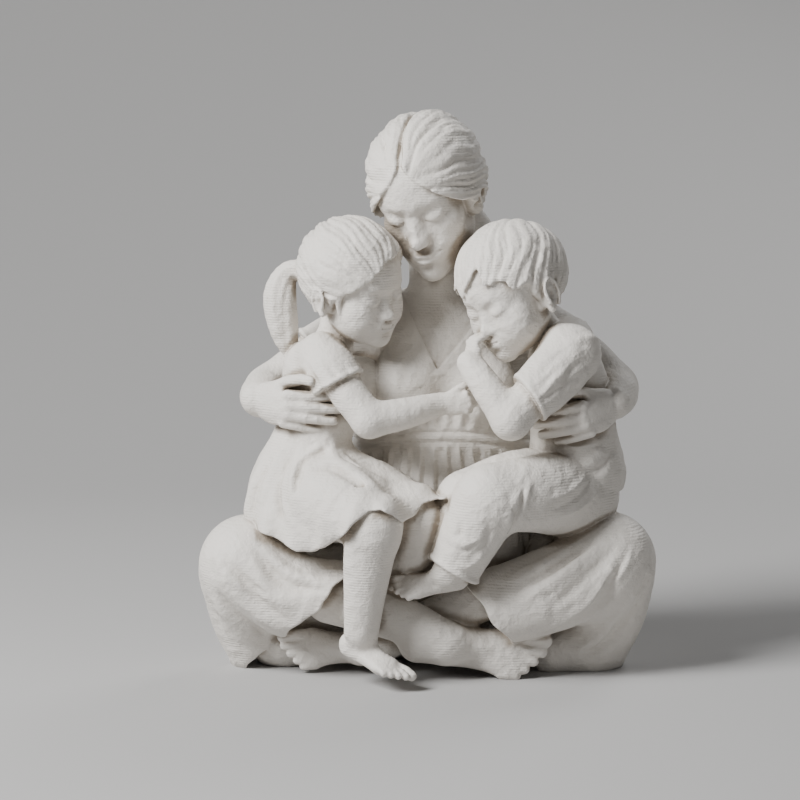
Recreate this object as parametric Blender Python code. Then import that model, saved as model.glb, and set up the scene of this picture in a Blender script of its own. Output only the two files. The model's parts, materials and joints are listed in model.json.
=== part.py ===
"""Mother and children sculpture: a seated mother with a girl and a boy on her lap, cast as one solid.

The figures are shaped like clay, as rounded solids that are blended, cut and folded, in millimetres at a height
of about 250. The surface is then simplified and fitted to HEIGHT metres.
"""
import math

import bpy
import numpy as np
import openvdb

# Size of the whole group, in metres
HEIGHT = 0.250            # floor to the top of the mother's hair

# Heads, hands and feet, in millimetres at a height of 250
MOTHER_HEAD = 64.5        # chin to crown
GIRL_HEAD = 54.5
BOY_HEAD = 57.5
MOTHER_HAND = 46.5        # wrist to finger tip
GIRL_HAND = 27.0
BOY_HAND = 23.0
MOTHER_RIGHT_FOOT = 60.0  # heel to toe, the foot in front
MOTHER_LEFT_FOOT = 49.0   # the foot half under the hem
GIRL_FOOT = 39.0
BOY_FOOT = 37.0

# Cloth and hair
CLOTH = 1.2               # how far the blouse stands off the skin
CLOTH_LIP = 0.9           # thickening along a hem
WAIST_TOP = 99.5          # heights of the two grooves of the waistband
WAIST_FOOT = 92.5
GATHERS = 26.0            # gathers in a turn round the waist, times a half turn
HAIR_DEPTH = 0.030        # depth of the locks, in head lengths

# How finely the surface is worked out
CELL = 1.5                # grid step
TRIANGLES = 9900          # triangles left after simplifying
FLAT_BAND = 0.0004        # what ends this near the floor lies flat on it, in metres
BOX_LOW = (-108, -90, -4)
BOX_HIGH = (108, 84, 256)
BLOCK = 8                 # grid cells along a block
JOB_SIZE = 16.0           # side of the boxes that are measured at one time
BOX_PAD = 2.5             # room left round each form
FAR = 60.0                # a distance that counts as empty

NAME = "mother_and_children"


def unit(v):
    v = np.array(v, float)
    return v / np.linalg.norm(v)


def lerp(a, b, t):
    return a + (b - a) * t


def smoothstep(low, high, x):
    t = np.clip((x - low) / (high - low), 0, 1)
    return t * t * (3 - 2 * t)


def bell(x, width):
    return np.exp(-(x / width) ** 2)


def smooth_min(a, b, blend):
    """The nearer of two surfaces, with the corner between them filled."""
    if blend <= 0:
        return np.minimum(a, b)
    h = np.maximum(blend - np.abs(a - b), 0.0)
    return np.minimum(a, b) - h * h * (0.25 / blend)


def smooth_max(a, b, blend):
    return -smooth_min(-a, -b, blend)


def ball_distance(P, centre, radius):
    x, y, z = P[0] - centre[0], P[1] - centre[1], P[2] - centre[2]
    return np.sqrt(x * x + y * y + z * z) - radius


def egg_distance(P, centre, radii, turn=None):
    x, y, z = P[0] - centre[0], P[1] - centre[1], P[2] - centre[2]
    if turn is not None:
        x, y, z = (row[0] * x + row[1] * y + row[2] * z for row in turn)
    x, y, z = x / radii[0], y / radii[1], z / radii[2]
    reach = np.sqrt(x * x + y * y + z * z)
    x, y, z = x / radii[0], y / radii[1], z / radii[2]
    slope = np.sqrt(x * x + y * y + z * z) + 1e-6
    return reach * (reach - 1.0) / slope


def curve(points, steps):
    """A smooth line through the given places. Each place may carry more numbers, such as a radius."""
    p = np.array(points, float)
    if len(p) < 3 or steps < 2:
        return p
    ends = np.vstack([2 * p[0] - p[1], p, 2 * p[-1] - p[-2]])
    line = []
    for i in range(len(p) - 1):
        a, b, c, d = ends[i:i + 4]
        for t in np.arange(steps) / steps:
            line.append(0.5 * (2 * b + (c - a) * t + (2 * a - 5 * b + 4 * c - d) * t * t
                               + (3 * b - a - 3 * c + d) * t ** 3))
    line.append(p[-1])
    return np.array(line)


def axes(forward, up):
    """Rows that point right, forward and up for a head, a hand or a foot."""
    f = unit(forward)
    r = unit(np.cross(f, up))
    return np.array([r, f, np.cross(r, f)], np.float32)


class Rods:
    """Rods end to end with a radius at each joint, such as a limb or the run of a fold."""

    def __init__(self, line, flat=None):
        self.a, self.d = line[:-1, :3], np.diff(line[:, :3], axis=0)
        self.r, self.dr = line[:-1, 3], np.diff(line[:, 3])
        self.dd = (self.d ** 2).sum(1) + 1e-9
        self.flat = flat
        widest = np.maximum(line[:-1, 3], line[1:, 3])[:, None]
        self.low = np.minimum(line[:-1, :3], line[1:, :3]) - widest
        self.high = np.maximum(line[:-1, :3], line[1:, :3]) + widest
        lengths = np.sqrt(self.dd)
        self.along = np.concatenate([[0], np.cumsum(lengths)]) / lengths.sum()

    def distance(self, P, low, high, pad, centre_line=False):
        """Distance to the skin, or with centre_line the distance to the middle and how far along it is."""
        best, where = None, None
        near = ((self.low - pad < high) & (self.high + pad > low)).all(1)
        for i in np.nonzero(near)[0]:
            a, d = self.a[i], self.d[i]
            x, y, z = P[0] - a[0], P[1] - a[1], P[2] - a[2]
            t = np.clip((x * d[0] + y * d[1] + z * d[2]) / self.dd[i], 0, 1)
            x -= t * d[0]
            y -= t * d[1]
            z -= t * d[2]
            square = x * x + y * y + z * z
            if self.flat is not None:
                n, share = self.flat
                q = x * n[0] + y * n[1] + z * n[2]
                square += (share * share - 1) * q * q
            reach = np.sqrt(square)
            if centre_line:
                t = lerp(self.along[i], self.along[i + 1], t)
                closer = True if best is None else reach < best
                where = t if best is None else np.where(closer, t, where)
                best = reach if best is None else np.where(closer, reach, best)
            else:
                reach -= self.r[i] + t * self.dr[i]
                best = reach if best is None else np.minimum(best, reach)
        return (best, where) if centre_line else best


class Form:
    """One solid or mark of a part: how far it is, the box it lies in, and how it joins what is there."""

    def __init__(self, distance, low, high, blend, kind="add", line=None, reach=0.0):
        self.distance, self.blend, self.kind, self.line, self.reach = distance, blend, kind, line, reach
        self.fit(low, high)

    def fit(self, low, high):
        pad = self.blend + BOX_PAD
        self.low, self.high = np.array(low, float) - pad, np.array(high, float) + pad


class Part:
    """A part of the sculpture, such as a dress or a head, built up and cut back like clay."""

    def __init__(self, name, blend):
        self.name, self.blend, self.forms = name, blend, []
        self.place()

    def place(self, origin=(0, 0, 0), turn=None, size=1.0):
        """What follows is given in axes and in a unit of its own, such as head lengths."""
        self.origin = np.array(origin, float)
        self.turn = np.eye(3, dtype=np.float32) if turn is None else turn
        self.size = size

    def at(self, place):
        return self.origin + self.size * (np.array(place, float) @ self.turn)

    def ball(self, centre, radius, blend=3.0, kind="add", both=False):
        self.egg(centre, (radius, radius, radius), blend, kind, both)

    def egg(self, centre, radii, blend=3.0, kind="add", both=False):
        for side in (1, -1) if both else (1,):
            c = self.at((centre[0] * side, centre[1], centre[2]))
            r = [v * self.size for v in radii]
            half = np.sqrt(((self.turn * np.array(r)[:, None]) ** 2).sum(0))

            def distance(P, low, high, c=c, r=r, turn=self.turn):
                return egg_distance(P, c, r, turn)
            self.forms.append(Form(distance, c - half, c + half, blend * self.size, kind))

    def rods(self, points, steps, flat=None):
        line = [(*self.at(p[:3]), p[3] * self.size) for p in points]
        if flat is not None:
            flat = (unit(np.array(flat[:3], float) @ self.turn), flat[3])
        return Rods(curve(line, steps), flat)

    def limb(self, points, blend=3.0, steps=4, flat=None, kind="add", both=False):
        """A limb through places (x, y, z, radius); flat is a direction and how much thinner it is that way."""
        for side in (1, -1) if both else (1,):
            rods = self.rods([(p[0] * side, *p[1:]) for p in points], steps, flat)
            pad = blend * self.size + BOX_PAD

            def distance(P, low, high, rods=rods, pad=pad):
                return rods.distance(P, low, high, pad)
            self.forms.append(Form(distance, rods.low.min(0), rods.high.max(0), blend * self.size, kind))

    def sleeve(self, points, edge, toward, blend=2.0, lip=CLOTH_LIP, steps=4):
        """A limb of cloth that ends in a hem at a place, square to a direction."""
        rods = self.rods(points, steps)
        n = unit(toward)
        end = float(np.dot(n, edge))

        def distance(P, low, high):
            d = rods.distance(P, low, high, blend + BOX_PAD + 2)
            if d is None:
                return None
            past = n[0] * P[0] + n[1] * P[1] + n[2] * P[2] - end
            return smooth_max(d - lip * bell(past + 1.2, 1.1), past, 1.0)
        self.forms.append(Form(distance, rods.low.min(0) - lip, rods.high.max(0) + lip, blend))

    def own(self, field, centre, reach, blend=0.0):
        """Add a solid given by a function in this part's own axes and unit."""
        origin, turn, size, c = self.origin, self.turn, self.size, self.at(centre)

        def distance(P, low, high):
            x, y, z = ((P[i] - origin[i]) / size for i in range(3))
            return size * field(*(row[0] * x + row[1] * y + row[2] * z for row in turn))
        self.forms.append(Form(distance, c - reach * size, c + reach * size, blend * size))

    def whole(self, field, blend=0.0, kind="raise"):
        """A function of the place that holds for the whole part: a cut along a hem, or a raised pattern."""
        def distance(P, low, high):
            return field(*P)
        self.forms.append(Form(distance, [-1e3] * 3, [1e3] * 3, blend, kind))

    def fold(self, points, width, height, steps=5):
        """A ridge along a line on the surface, or a groove if the height is under 0."""
        line = curve([(*self.at(p[:3]), 0.0) for p in points], steps)
        width, height = width * self.size, height * self.size
        form = Form(None, line[:, :3].min(0), line[:, :3].max(0), 0.0, "raise", line, 2.2 * width)

        def distance(P, low, high):
            d, t = form.rods.distance(P, low, high, form.reach + 1.0, True)
            if d is None:
                return np.float32(0)
            return height * bell(d, width) * np.minimum(1, 4.5 * t * (1 - t) + 0.05)
        form.distance = distance
        self.forms.append(form)

    def folds(self, lines, width, height):
        for line in lines:
            self.fold(line, width, height)

    def fan(self, first, last, count, width, height):
        """Folds from one line to another, a little uneven as real cloth is."""
        for i in range(count):
            t = i / max(count - 1, 1)
            a, b = lerp(*np.array(first, float), t), lerp(*np.array(last, float), t)
            strong = 1.0 + 0.25 * math.sin(3.7 * i + 1.1)
            self.fold([a, (a + b) / 2, b], width * strong, height * strong)

    def solid(self, P):
        """Distance to this part before its folds."""
        d = np.full(P.shape[1], FAR)
        low, high = P.min(1), P.max(1)
        for form in self.forms:
            if form.kind != "raise":
                d = join(d, form, form.distance(P, low, high))
        return d

    def settle(self):
        """Lay every fold on the surface of the part."""
        marks = [form for form in self.forms if form.line is not None]
        if not marks:
            return
        P = np.concatenate([form.line[:, :3] for form in marks]).T.copy()
        for _ in range(6):
            d = self.solid(P)
            slope = np.stack([self.solid(P + step[:, None]) - d for step in np.eye(3) * 0.3]) / 0.3
            P -= 0.8 * np.clip(d, -6, 6) * slope / np.maximum((slope ** 2).sum(0), 0.2)
        first = 0
        for form in marks:
            count = len(form.line)
            form.line[:, :3] = P[:, first:first + count].T
            form.rods = Rods(form.line)
            form.fit(form.line[:, :3].min(0) - form.reach, form.line[:, :3].max(0) + form.reach)
            first += count


def join(total, form, d):
    """The total with one more form of a part in it."""
    if d is None:
        return total
    if form.kind == "add":
        return smooth_min(total, d, form.blend)
    if form.kind == "cut":
        return smooth_max(total, -d, form.blend)
    if form.kind == "keep":
        return smooth_max(total, d, form.blend)
    return total - d


class Clay:
    """All the parts together, ready to be measured anywhere."""

    def __init__(self, parts):
        self.rows = []
        for part in parts:
            part.settle()
            self.rows += [(part, form) for form in part.forms]
        self.low = np.array([form.low for _, form in self.rows])
        self.high = np.array([form.high for _, form in self.rows])

    def distance(self, P, low=None, high=None):
        if low is None:
            low, high = P.min(1), P.max(1)
        total = np.full(P.shape[1], FAR, np.float32)
        part, mine = None, None
        for i in np.nonzero(((self.low < high) & (self.high > low)).all(1))[0]:
            owner, form = self.rows[i]
            if owner is not part:
                if part is not None:
                    total = smooth_min(total, mine, part.blend)
                part, mine = owner, np.full(P.shape[1], FAR, np.float32)
            mine = join(mine, form, form.distance(P, low, high))
        return total if part is None else smooth_min(total, mine, part.blend)


def measure(clay, low, high, cell):
    """Distances on a grid over a box, worked out in full only near the surface, cut off flat at the floor."""
    low, high = np.array(low, float), np.array(high, float)
    side = cell * BLOCK
    n = np.ceil((high - low) / side).astype(int) + 1
    rough = np.full(n, FAR, np.float32)
    batch = 6
    for start in np.ndindex(*(-(-n // batch))):
        part = tuple(slice(s * batch, min(s * batch + batch, m)) for s, m in zip(start, n))
        line = [low[q] + (np.arange(part[q].start, part[q].stop) + 0.5) * side - 0.5 * cell for q in range(3)]
        P = np.stack(np.meshgrid(*line, indexing="ij")).astype(np.float32)
        flat = P.reshape(3, -1)
        d = clay.distance(flat, flat.min(1) - side, flat.max(1) + side)
        rough[part] = np.maximum(d, -flat[2]).reshape(P.shape[1:])
    near = np.abs(rough) < side + 0.8
    grid = np.clip(rough, -side, side).repeat(BLOCK, 0).repeat(BLOCK, 1).repeat(BLOCK, 2)
    lines = [(low[q] + np.arange(n[q] * BLOCK) * cell).astype(np.float32) for q in range(3)]
    inner = np.stack(np.meshgrid(*[np.arange(BLOCK)] * 3, indexing="ij")).reshape(3, -1)
    group = max(1, int(round(JOB_SIZE / side)))
    for start in np.ndindex(*(-(-n // group))):
        first = np.array(start) * group
        blocks = np.argwhere(near[tuple(slice(f, f + group) for f in first)]) + first
        if len(blocks) == 0:
            continue
        i, j, k = (blocks[:, :, None] * BLOCK + inner[None]).transpose(1, 0, 2).reshape(3, -1)
        P = np.stack([lines[0][i], lines[1][j], lines[2][k]])
        grid[i, j, k] = np.maximum(clay.distance(P), -P[2])
    return grid


def skin_of(grid, low, cell):
    """Places and four-cornered faces of the surface in a grid of distances."""
    volume = openvdb.FloatGrid(background=3 * cell)
    volume.copyFromArray(np.clip(grid, -3 * cell, 3 * cell))
    points, quads = volume.convertToQuads(isovalue=0.0)
    return points.astype(float) * cell + np.array(low), quads


def face(part, young):
    """The skin of a head in head lengths: eyes at z 0, ears at y 0, y forward; young is 0 grown, 1 a small child."""
    k = lerp(0.98, 0.80, young)
    skull = lerp(0.13, 0.155, young)
    part.egg((0, -0.06, skull), (lerp(0.325, 0.345, young), lerp(0.42, 0.40, young), 0.363), 0.05)
    part.egg((0, 0.10, 0.13), (lerp(0.275, 0.30, young), 0.275, 0.27), 0.1)
    part.egg((0, 0.11, -0.14 * k), (lerp(0.255, 0.272, young), 0.25, 0.34 * k), 0.08)
    # cheeks, jaw and chin
    part.egg((0.172, 0.212, -0.10 * k), (0.105, 0.105, 0.085), 0.08, both=True)
    cheek = lerp(0.134, 0.152, young)
    part.ball((cheek, lerp(0.212, 0.205, young), -0.225 * k), lerp(0.112, 0.138, young), 0.08, both=True)
    jaw = [(0.205, 0.01, -0.26 * k, 0.072), (0.155, 0.15, -0.37 * k, 0.074), (0.045, 0.280, -0.435 * k, 0.064)]
    part.limb(jaw, 0.08, both=True)
    part.ball((0, lerp(0.325, 0.300, young), -0.435 * k), 0.065, 0.06)
    part.egg((0, 0.285, -0.30 * k), (0.145, 0.110, 0.10), 0.06)
    # brow and sockets
    brow = lerp(0.030, 0.022, young)
    part.limb([(0.035, 0.335, 0.082, brow), (0.11, 0.322, 0.100, brow), (0.20, 0.262, 0.080, brow)],
              0.07, both=True)
    part.egg((0.125, 0.425, 0.0), (0.095, 0.085, 0.050), 0.07, "cut", both=True)
    part.own(lambda x, y, z: closed_eyes(x, y, z, young), (0, 0.278, -0.008), 0.25, 0.022)
    # nose
    tip = lerp(0.430, 0.402, young)
    bridge = lerp(0.336, 0.312, young)
    low = -0.170 * k
    part.limb([(0, bridge, 0.060, 0.026), (0, bridge + 0.030, -0.03, 0.025), (0, tip - 0.012, low + 0.022, 0.031)],
              0.05)
    part.ball((0, tip, low), 0.036, 0.035)
    part.egg((0.043, tip - 0.040, low - 0.007), (0.024, 0.034, 0.024), 0.030, both=True)
    part.egg((0.022, tip - 0.018, low - 0.042), (0.013, 0.02, 0.014), 0.012, "cut", both=True)
    mouth(part, -0.300 * k, lerp(0.396, 0.374, young), lerp(0.90, 0.82, young))


def closed_eyes(x, y, z, young):
    """Eyeballs under closed lids, with the line of the lashes and the crease over it."""
    ax = np.abs(x)
    eye_x, eye_y, radius = 0.132, lerp(0.268, 0.256, young), lerp(0.086, 0.098, young)
    ball = ball_distance((ax, y, z), (eye_x, eye_y, -0.008), radius)
    edge = -0.012 - 0.030 * np.clip(1 - ((ax - eye_x) / 0.070) ** 2, -1, 1)
    lid = smoothstep(-0.003, 0.003, z - edge)
    lash = 1.4 * bell(z - edge + 0.004, 0.007) * smoothstep(0.085, 0.06, np.abs(ax - eye_x))
    crease = bell(z - edge - 0.062 + 0.25 * (ax - eye_x) ** 2, 0.008)
    return ball - 0.008 * lid + 0.006 * lash + 0.004 * crease


def mouth(part, z, y, wide):
    """Two closed lips and the line between them, its corners a little raised."""
    upper = [(0, y, z + 0.021, 0.015), (0.024 * wide, y + 0.002, z + 0.022, 0.018),
             (0.070 * wide, y - 0.016, z + 0.018, 0.014), (0.122 * wide, y - 0.064, z + 0.032, 0.009)]
    lower = [(0, y - 0.003, z - 0.024, 0.024), (0.048 * wide, y - 0.014, z - 0.019, 0.020),
             (0.102 * wide, y - 0.050, z + 0.010, 0.011)]
    line = [(0, y + 0.023, z, 0.006), (0.065 * wide, y + 0.008, z + 0.004, 0.0065),
            (0.142 * wide, y - 0.062, z + 0.036, 0.007)]
    part.limb(upper, 0.016, both=True)
    part.limb(lower, 0.016, both=True)
    part.limb(line, 0.010, kind="cut", both=True)
    part.limb([(0, y + 0.028, z + 0.075, 0.007), (0, y + 0.030, z + 0.045, 0.009)], 0.02, kind="cut")
    part.egg((0, y + 0.020, z - 0.068), (0.05, 0.03, 0.018), 0.04, "cut")


def ears(part, size, out):
    """A pair of ears in head lengths: a flat shell with a rolled rim, a bowl and a lobe."""
    cx, cy, cz = 0.345 + out, -0.03, -0.045
    part.limb([(0.25, 0.0, 0.0, 0.06), (cx - 0.015, -0.015, 0.0, 0.045)], 0.03, both=True)
    part.limb([(0.24, 0.02, -0.10, 0.05), (cx - 0.015, -0.005, -0.12, 0.028)], 0.03, both=True)
    part.egg((cx - 0.01, cy, cz), (0.034 * size, 0.06 * size, 0.10 * size), 0.03, both=True)
    part.ball((cx - 0.002, cy + 0.030 * size, cz - 0.105 * size), 0.026 * size, 0.03, both=True)
    rim = []
    for degrees in range(-60, 216, 45):
        t = math.radians(degrees)
        rim.append((cx + (0.022 + 0.014 * math.sin(t * 0.5)) * size, cy - 0.064 * size * math.cos(t),
                    cz + 0.105 * size * math.sin(t), 0.014 * size))
    part.limb(rim, 0.008, 3, both=True)
    part.egg((cx + 0.036 * size, cy + 0.012 * size, cz - 0.008),
             (0.030 * size, 0.030 * size, 0.050 * size), 0.012, "cut", both=True)
    part.limb([(cx + 0.014 * size, cy + 0.05 * size, cz - 0.02 * size, 0.011 * size),
               (cx + 0.014 * size, cy + 0.045 * size, cz - 0.055 * size, 0.013 * size)], 0.012, both=True)


def strands(x, y, z, pole, locks, seed):
    """0 to 1: locks and finer strands that run away from a pole, as hair runs from its tie or its crown."""
    p = unit(pole)
    a = unit(np.cross(p, (0.31, 0.2, 0.93) if abs(p[2]) < 0.9 else (1, 0, 0)))
    b = np.cross(p, a)
    u = x * a[0] + y * a[1] + z * a[2]
    v = x * b[0] + y * b[1] + z * b[2]
    turn = np.arctan2(v, u)
    away = np.arctan2(np.sqrt(u * u + v * v), x * p[0] + y * p[1] + z * p[2])
    sway = turn + 0.13 * np.sin(2 * turn + seed) + 0.06 * np.sin(5 * turn + 2.3 * seed)
    sway = sway + 0.06 * np.sin(3.1 * away + 2 * turn + seed) + 0.025 * np.sin(7.3 * away + 5 * turn + 2 * seed)
    lock = np.abs(np.sin(0.5 * locks * sway))
    tuft = np.abs(np.sin(1.5 * locks * sway + 1.1 * np.sin(2.6 * away + seed)))
    strand = np.abs(np.sin(3.5 * locks * sway + 1.6 * np.sin(4.0 * away + 3 * turn)))
    end = np.minimum(away, math.pi - away)
    lock = 0.50 * lock ** 0.6 * smoothstep(0.12, 0.5, end)
    tuft = 0.32 * tuft ** 0.8 * smoothstep(0.35, 0.9, end)
    return lock + tuft + 0.18 * strand * smoothstep(0.7, 1.3, end)


def mother_hair(x, y, z):
    """Hair parted in the middle, swept over the ears to a low tie."""
    ax = np.abs(x)
    cap = egg_distance((x, y, z), (0, -0.075, 0.13), (0.395, 0.470, 0.412))
    cap = smooth_min(cap, egg_distance((ax, y, z), (0.21, -0.07, 0.01), (0.175, 0.26, 0.21)), 0.08)
    cap = smooth_min(cap, egg_distance((x, y, z), (0, -0.33, -0.20), (0.22, 0.2, 0.2)), 0.1)
    parting = bell(x, 0.016) * smoothstep(0.15, 0.25, z) * smoothstep(-0.4, -0.2, y)
    cap = cap - HAIR_DEPTH * (strands(ax, y, z, (0.0, -0.85, -0.45), 15, 0.4) - 0.4) + 0.035 * parting
    hairline = 0.325 + 0.06 * bell(ax, 0.05) - 0.55 * ax - 1.2 * ax * ax
    side = 0.12 - 0.5 * np.clip(-z, 0, 1) + 0.5 * np.clip(z, 0, 1)
    cap = smooth_max(cap, -smooth_max(z - hairline, side - y, 0.06), 0.02)
    return smooth_max(cap, -egg_distance((ax, y, z), (0.43, 0.02, -0.13), (0.11, 0.075, 0.10)), 0.03)


def girl_hair(x, y, z):
    """Hair brushed back to a high tie behind the right ear."""
    ax = np.abs(x)
    cap = egg_distance((x, y, z), (0, -0.065, 0.15), (0.395, 0.450, 0.412))
    cap = cap - HAIR_DEPTH * (strands(x + 0.06, y, z - 0.06, (-0.22, -0.92, 0.25), 17, 1.3) - 0.4)
    ragged = 0.030 * np.abs(np.sin(13 * x + 4 * z))
    hairline = 0.290 + ragged - 0.42 * x - 1.3 * ax * ax
    side = 0.115 - 0.6 * np.clip(-z, 0, 1) + 0.35 * np.clip(z, 0, 1)
    cap = smooth_max(cap, -smooth_max(z - hairline, side - y, 0.06), 0.02)
    cap = smooth_max(cap, -egg_distance((ax, y, z), (0.44, 0.0, -0.07), (0.11, 0.075, 0.11)), 0.03)
    return smooth_max(cap, -egg_distance((x, y, z), (0, -0.16, -0.44), (0.5, 0.40, 0.28)), 0.05)


def boy_hair(x, y, z):
    """Short hair combed forward from the crown to a ragged fringe."""
    ax = np.abs(x)
    cap = egg_distance((x, y, z), (0, -0.065, 0.155), (0.392, 0.450, 0.41))
    cap = cap - HAIR_DEPTH * (strands(x - 0.03, y + 0.1, z, (0.05, -0.55, 0.85), 13, 2.2) - 0.4)
    ragged = 0.070 * np.abs(np.sin(14 * (x + 0.5 * z) + 0.6)) + 0.012 * np.sin(41 * x)
    hairline = 0.165 + ragged + 0.10 * bell(x + 0.10, 0.09) - 0.6 * x * x
    side = 0.10 - 0.7 * np.clip(-z, 0, 1) + 0.15 * np.clip(z, 0, 1)
    cap = smooth_max(cap, -smooth_max(z - hairline, side - y, 0.04), 0.015)
    cap = smooth_max(cap, -egg_distance((ax, y, z), (0.45, 0.0, -0.07), (0.12, 0.080, 0.115)), 0.03)
    return smooth_max(cap, -egg_distance((x, y, z), (0, -0.16, -0.44), (0.6, 0.5, 0.32)), 0.05)


def tail(part, points, grooves):
    """A tied tail of hair: a limb with grooves down it and a band at its root."""
    part.limb(points, 2)
    line = curve(points, 4)
    for i in range(grooves):
        turn = 2 * math.pi * i / grooves
        run = []
        for p, q in zip(line[1:-1], line[2:]):
            d = unit(q[:3] - p[:3])
            side = unit(np.cross(d, (0, 1, 0.1)))
            out = math.cos(turn) * side + math.sin(turn) * np.cross(d, side)
            run.append(p[:3] + p[3] * out)
        part.fold(run, 0.8, -0.8, 1)


def hand(part, side, curl=0.35, spread=0.12, knuckle=0.0, thick=1.0, thumb=True):
    """A hand in hand lengths: wrist at 0, fingers along y, back along z; side is 1 for right, -1 for left."""
    part.egg((0.0, 0.24, 0.0), (0.19, 0.28, 0.085), 0.03)
    part.limb([(0, -0.05, 0, 0.105), (0, 0.1, 0, 0.11)], 0.08, flat=(0, 0, 1, 1.25))
    part.limb([(-0.11 * side, 0.12, -0.03, 0.075), (-0.15 * side, 0.26, -0.05, 0.06)], 0.06)
    for i, length in enumerate((0.42, 0.47, 0.44, 0.34)):
        u = (i - 1.5) / 1.5
        at = np.array([u * 0.135 * side, 0.47 - 0.035 * u * u - 0.02 * (i == 3), 0.0])
        bend = knuckle + curl * 0.5
        r = (0.057 - 0.005 * (i == 3)) * thick
        joints = [(*at, r)]
        for share, grow in ((0.42, 1.0), (0.32, 1.0), (0.26, 0.6)):
            bend += curl * grow * 0.6
            at = at + length * share * np.array([u * spread * 1.6 * side, math.cos(bend), -math.sin(bend)])
            r *= 0.93
            joints.append((*at, r))
        part.limb(joints, 0.022, 1)
    if thumb:
        part.limb([(-0.12 * side, 0.16, -0.04, 0.075 * thick), (-0.25 * side, 0.36, -0.06, 0.060 * thick),
                   (-0.31 * side, 0.53, -0.08, 0.052 * thick), (-0.32 * side, 0.65, -0.09, 0.046 * thick)], 0.03, 1)


def foot(part, side, leg=(0, -0.02, 0.12)):
    """A foot in foot lengths: ankle at 0, toes along y, sole at z -0.25; side is 1 for right, -1 for left."""
    part.ball((0, -0.13, -0.12), 0.125, 0.03)
    part.limb([(*leg, 0.132), (0, 0.0, -0.06, 0.132)], 0.08)
    part.limb([(-0.01 * side, 0.0, -0.06, 0.12), (-0.02 * side, 0.42, -0.17, 0.075)], 0.1)
    part.egg((0.0, 0.43, -0.178), (0.175, 0.15, 0.068), 0.08)
    part.egg((0.01, 0.50, -0.190), (0.155, 0.09, 0.045), 0.04)
    part.limb([(0.05 * side, -0.1, -0.17, 0.075), (0.1 * side, 0.38, -0.19, 0.06)], 0.08)
    part.limb([(-0.04 * side, -0.1, -0.17, 0.07), (-0.09 * side, 0.42, -0.18, 0.07)], 0.08)
    part.ball((-0.085 * side, -0.01, -0.02), 0.055, 0.06)
    toes = ((-0.122, 0.18, 0.060), (-0.036, 0.17, 0.044), (0.036, 0.155, 0.042), (0.101, 0.135, 0.041),
            (0.157, 0.11, 0.040))
    for x, length, r in toes:
        root = 0.51 - 0.6 * max(0.0, x + 0.03)
        part.limb([(x * side, root, -0.175, r * 0.95), (x * side, root + length * 0.55, -0.168, r * 0.90),
                   (x * side, root + length, -0.192, r)], 0.014, 1)


def hemmed(past):
    """A cut along a hem, with the cloth a little thicker at its edge; past is over 0 beyond the edge."""
    return past - CLOTH_LIP * bell(past + 1.4, 1.2)


# Places of the mother, in millimetres from under the middle of the group, +x to its left, -y to the front
MOTHER = {
    "seat": (8, 32, 36), "hips": (8, 28, 55), "waist": (8, 15, 92), "chest": (8, 15, 120),
    "collar": (8, 13, 141), "neck": (5, 6, 175), "skull": (3, 5, 200), "head": (0.6, -6, 212.6),
    "right shoulder": (-33, 19, 147), "right elbow": (-70.5, 8, 123),
    "left shoulder": (50, 18, 150), "left elbow": (84.5, 6, 124.3),
    "right knee": (-79, -24, 50), "left knee": (80, -24, 51),
    "right ankle": (9, -42, 16.2), "left ankle": (-28.5, -28, 12.3)}


def joint(figure, name, radius):
    return (*figure[name], radius)


def mother_trunk(part, cloth):
    """The body from hips to shoulders, as skin or, a little larger, as the blouse over it."""
    m = MOTHER
    part.limb([joint(m, "hips", 40 + cloth), joint(m, "waist", 40 + cloth), joint(m, "chest", 36 + cloth),
               joint(m, "collar", 30 + cloth)], 8, flat=(0, 1, 0, 1.4))
    for side in (-1, 1):
        part.egg((8 + 17 * side, -8, 126), (16 + cloth, 13 + cloth, 15 + cloth), 7)
    part.egg((5, -4, 143), (21 + cloth, 12 + cloth, 18 + cloth), 10)
    part.limb([joint(m, "right shoulder", 12 + cloth), (8, 16, 152, 15 + cloth),
               joint(m, "left shoulder", 12 + cloth)], 10)


def mother_skin():
    m = MOTHER
    part = Part("mother's skin", 1.0)
    mother_trunk(part, 0.0)
    part.limb([(7, 9, 150, 15), joint(m, "neck", 12.5), joint(m, "skull", 12.5)], 7)
    part.limb([joint(m, "right shoulder", 12.5), (-54, 15, 135, 11.5), joint(m, "right elbow", 11)], 6)
    part.limb([joint(m, "right elbow", 11), (-73.3, -8, 122.8, 10), (-74.5, -20, 123, 8)], 4)
    part.limb([joint(m, "left shoulder", 12.5), (72, 13, 137, 11.5), joint(m, "left elbow", 11)], 6)
    part.limb([joint(m, "left elbow", 11), (85, -10, 123.6, 10), (83, -29, 122, 7.4)], 4)
    return part


def gathered(x, y, z):
    """A high waistband between two grooves, with gathers that fall from it and puff over it."""
    side, turn = x - MOTHER["waist"][0], np.arctan2(x - MOTHER["waist"][0], 24 - y)
    level = z + 0.004 * side * side
    band = -1.1 * bell(level - WAIST_TOP, 0.9) - 1.2 * bell(level - WAIST_FOOT, 0.9)
    fall = smoothstep(WAIST_FOOT, WAIST_FOOT - 7, level) * smoothstep(50, 62, z)
    puff = smoothstep(WAIST_TOP, WAIST_TOP + 5, level) * smoothstep(118, 108, z)
    gathers = np.sin(GATHERS * turn + 1.3 * np.sin(5 * turn) + 0.05 * (WAIST_FOOT - z))
    return band + 1.2 * gathers * fall + 0.5 * np.sin(1.2 * GATHERS * turn) * puff


def neckline(x, y, z):
    """The opening of the blouse, a V with a turned edge."""
    side, up = x - 5.0, z - 134.0
    inside = np.minimum(np.minimum(up + 2.05 * side, up - 1.15 * side) * 0.45, 10 - y)
    return inside - CLOTH_LIP * bell(inside, 1.3) * (up > -3)


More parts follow.
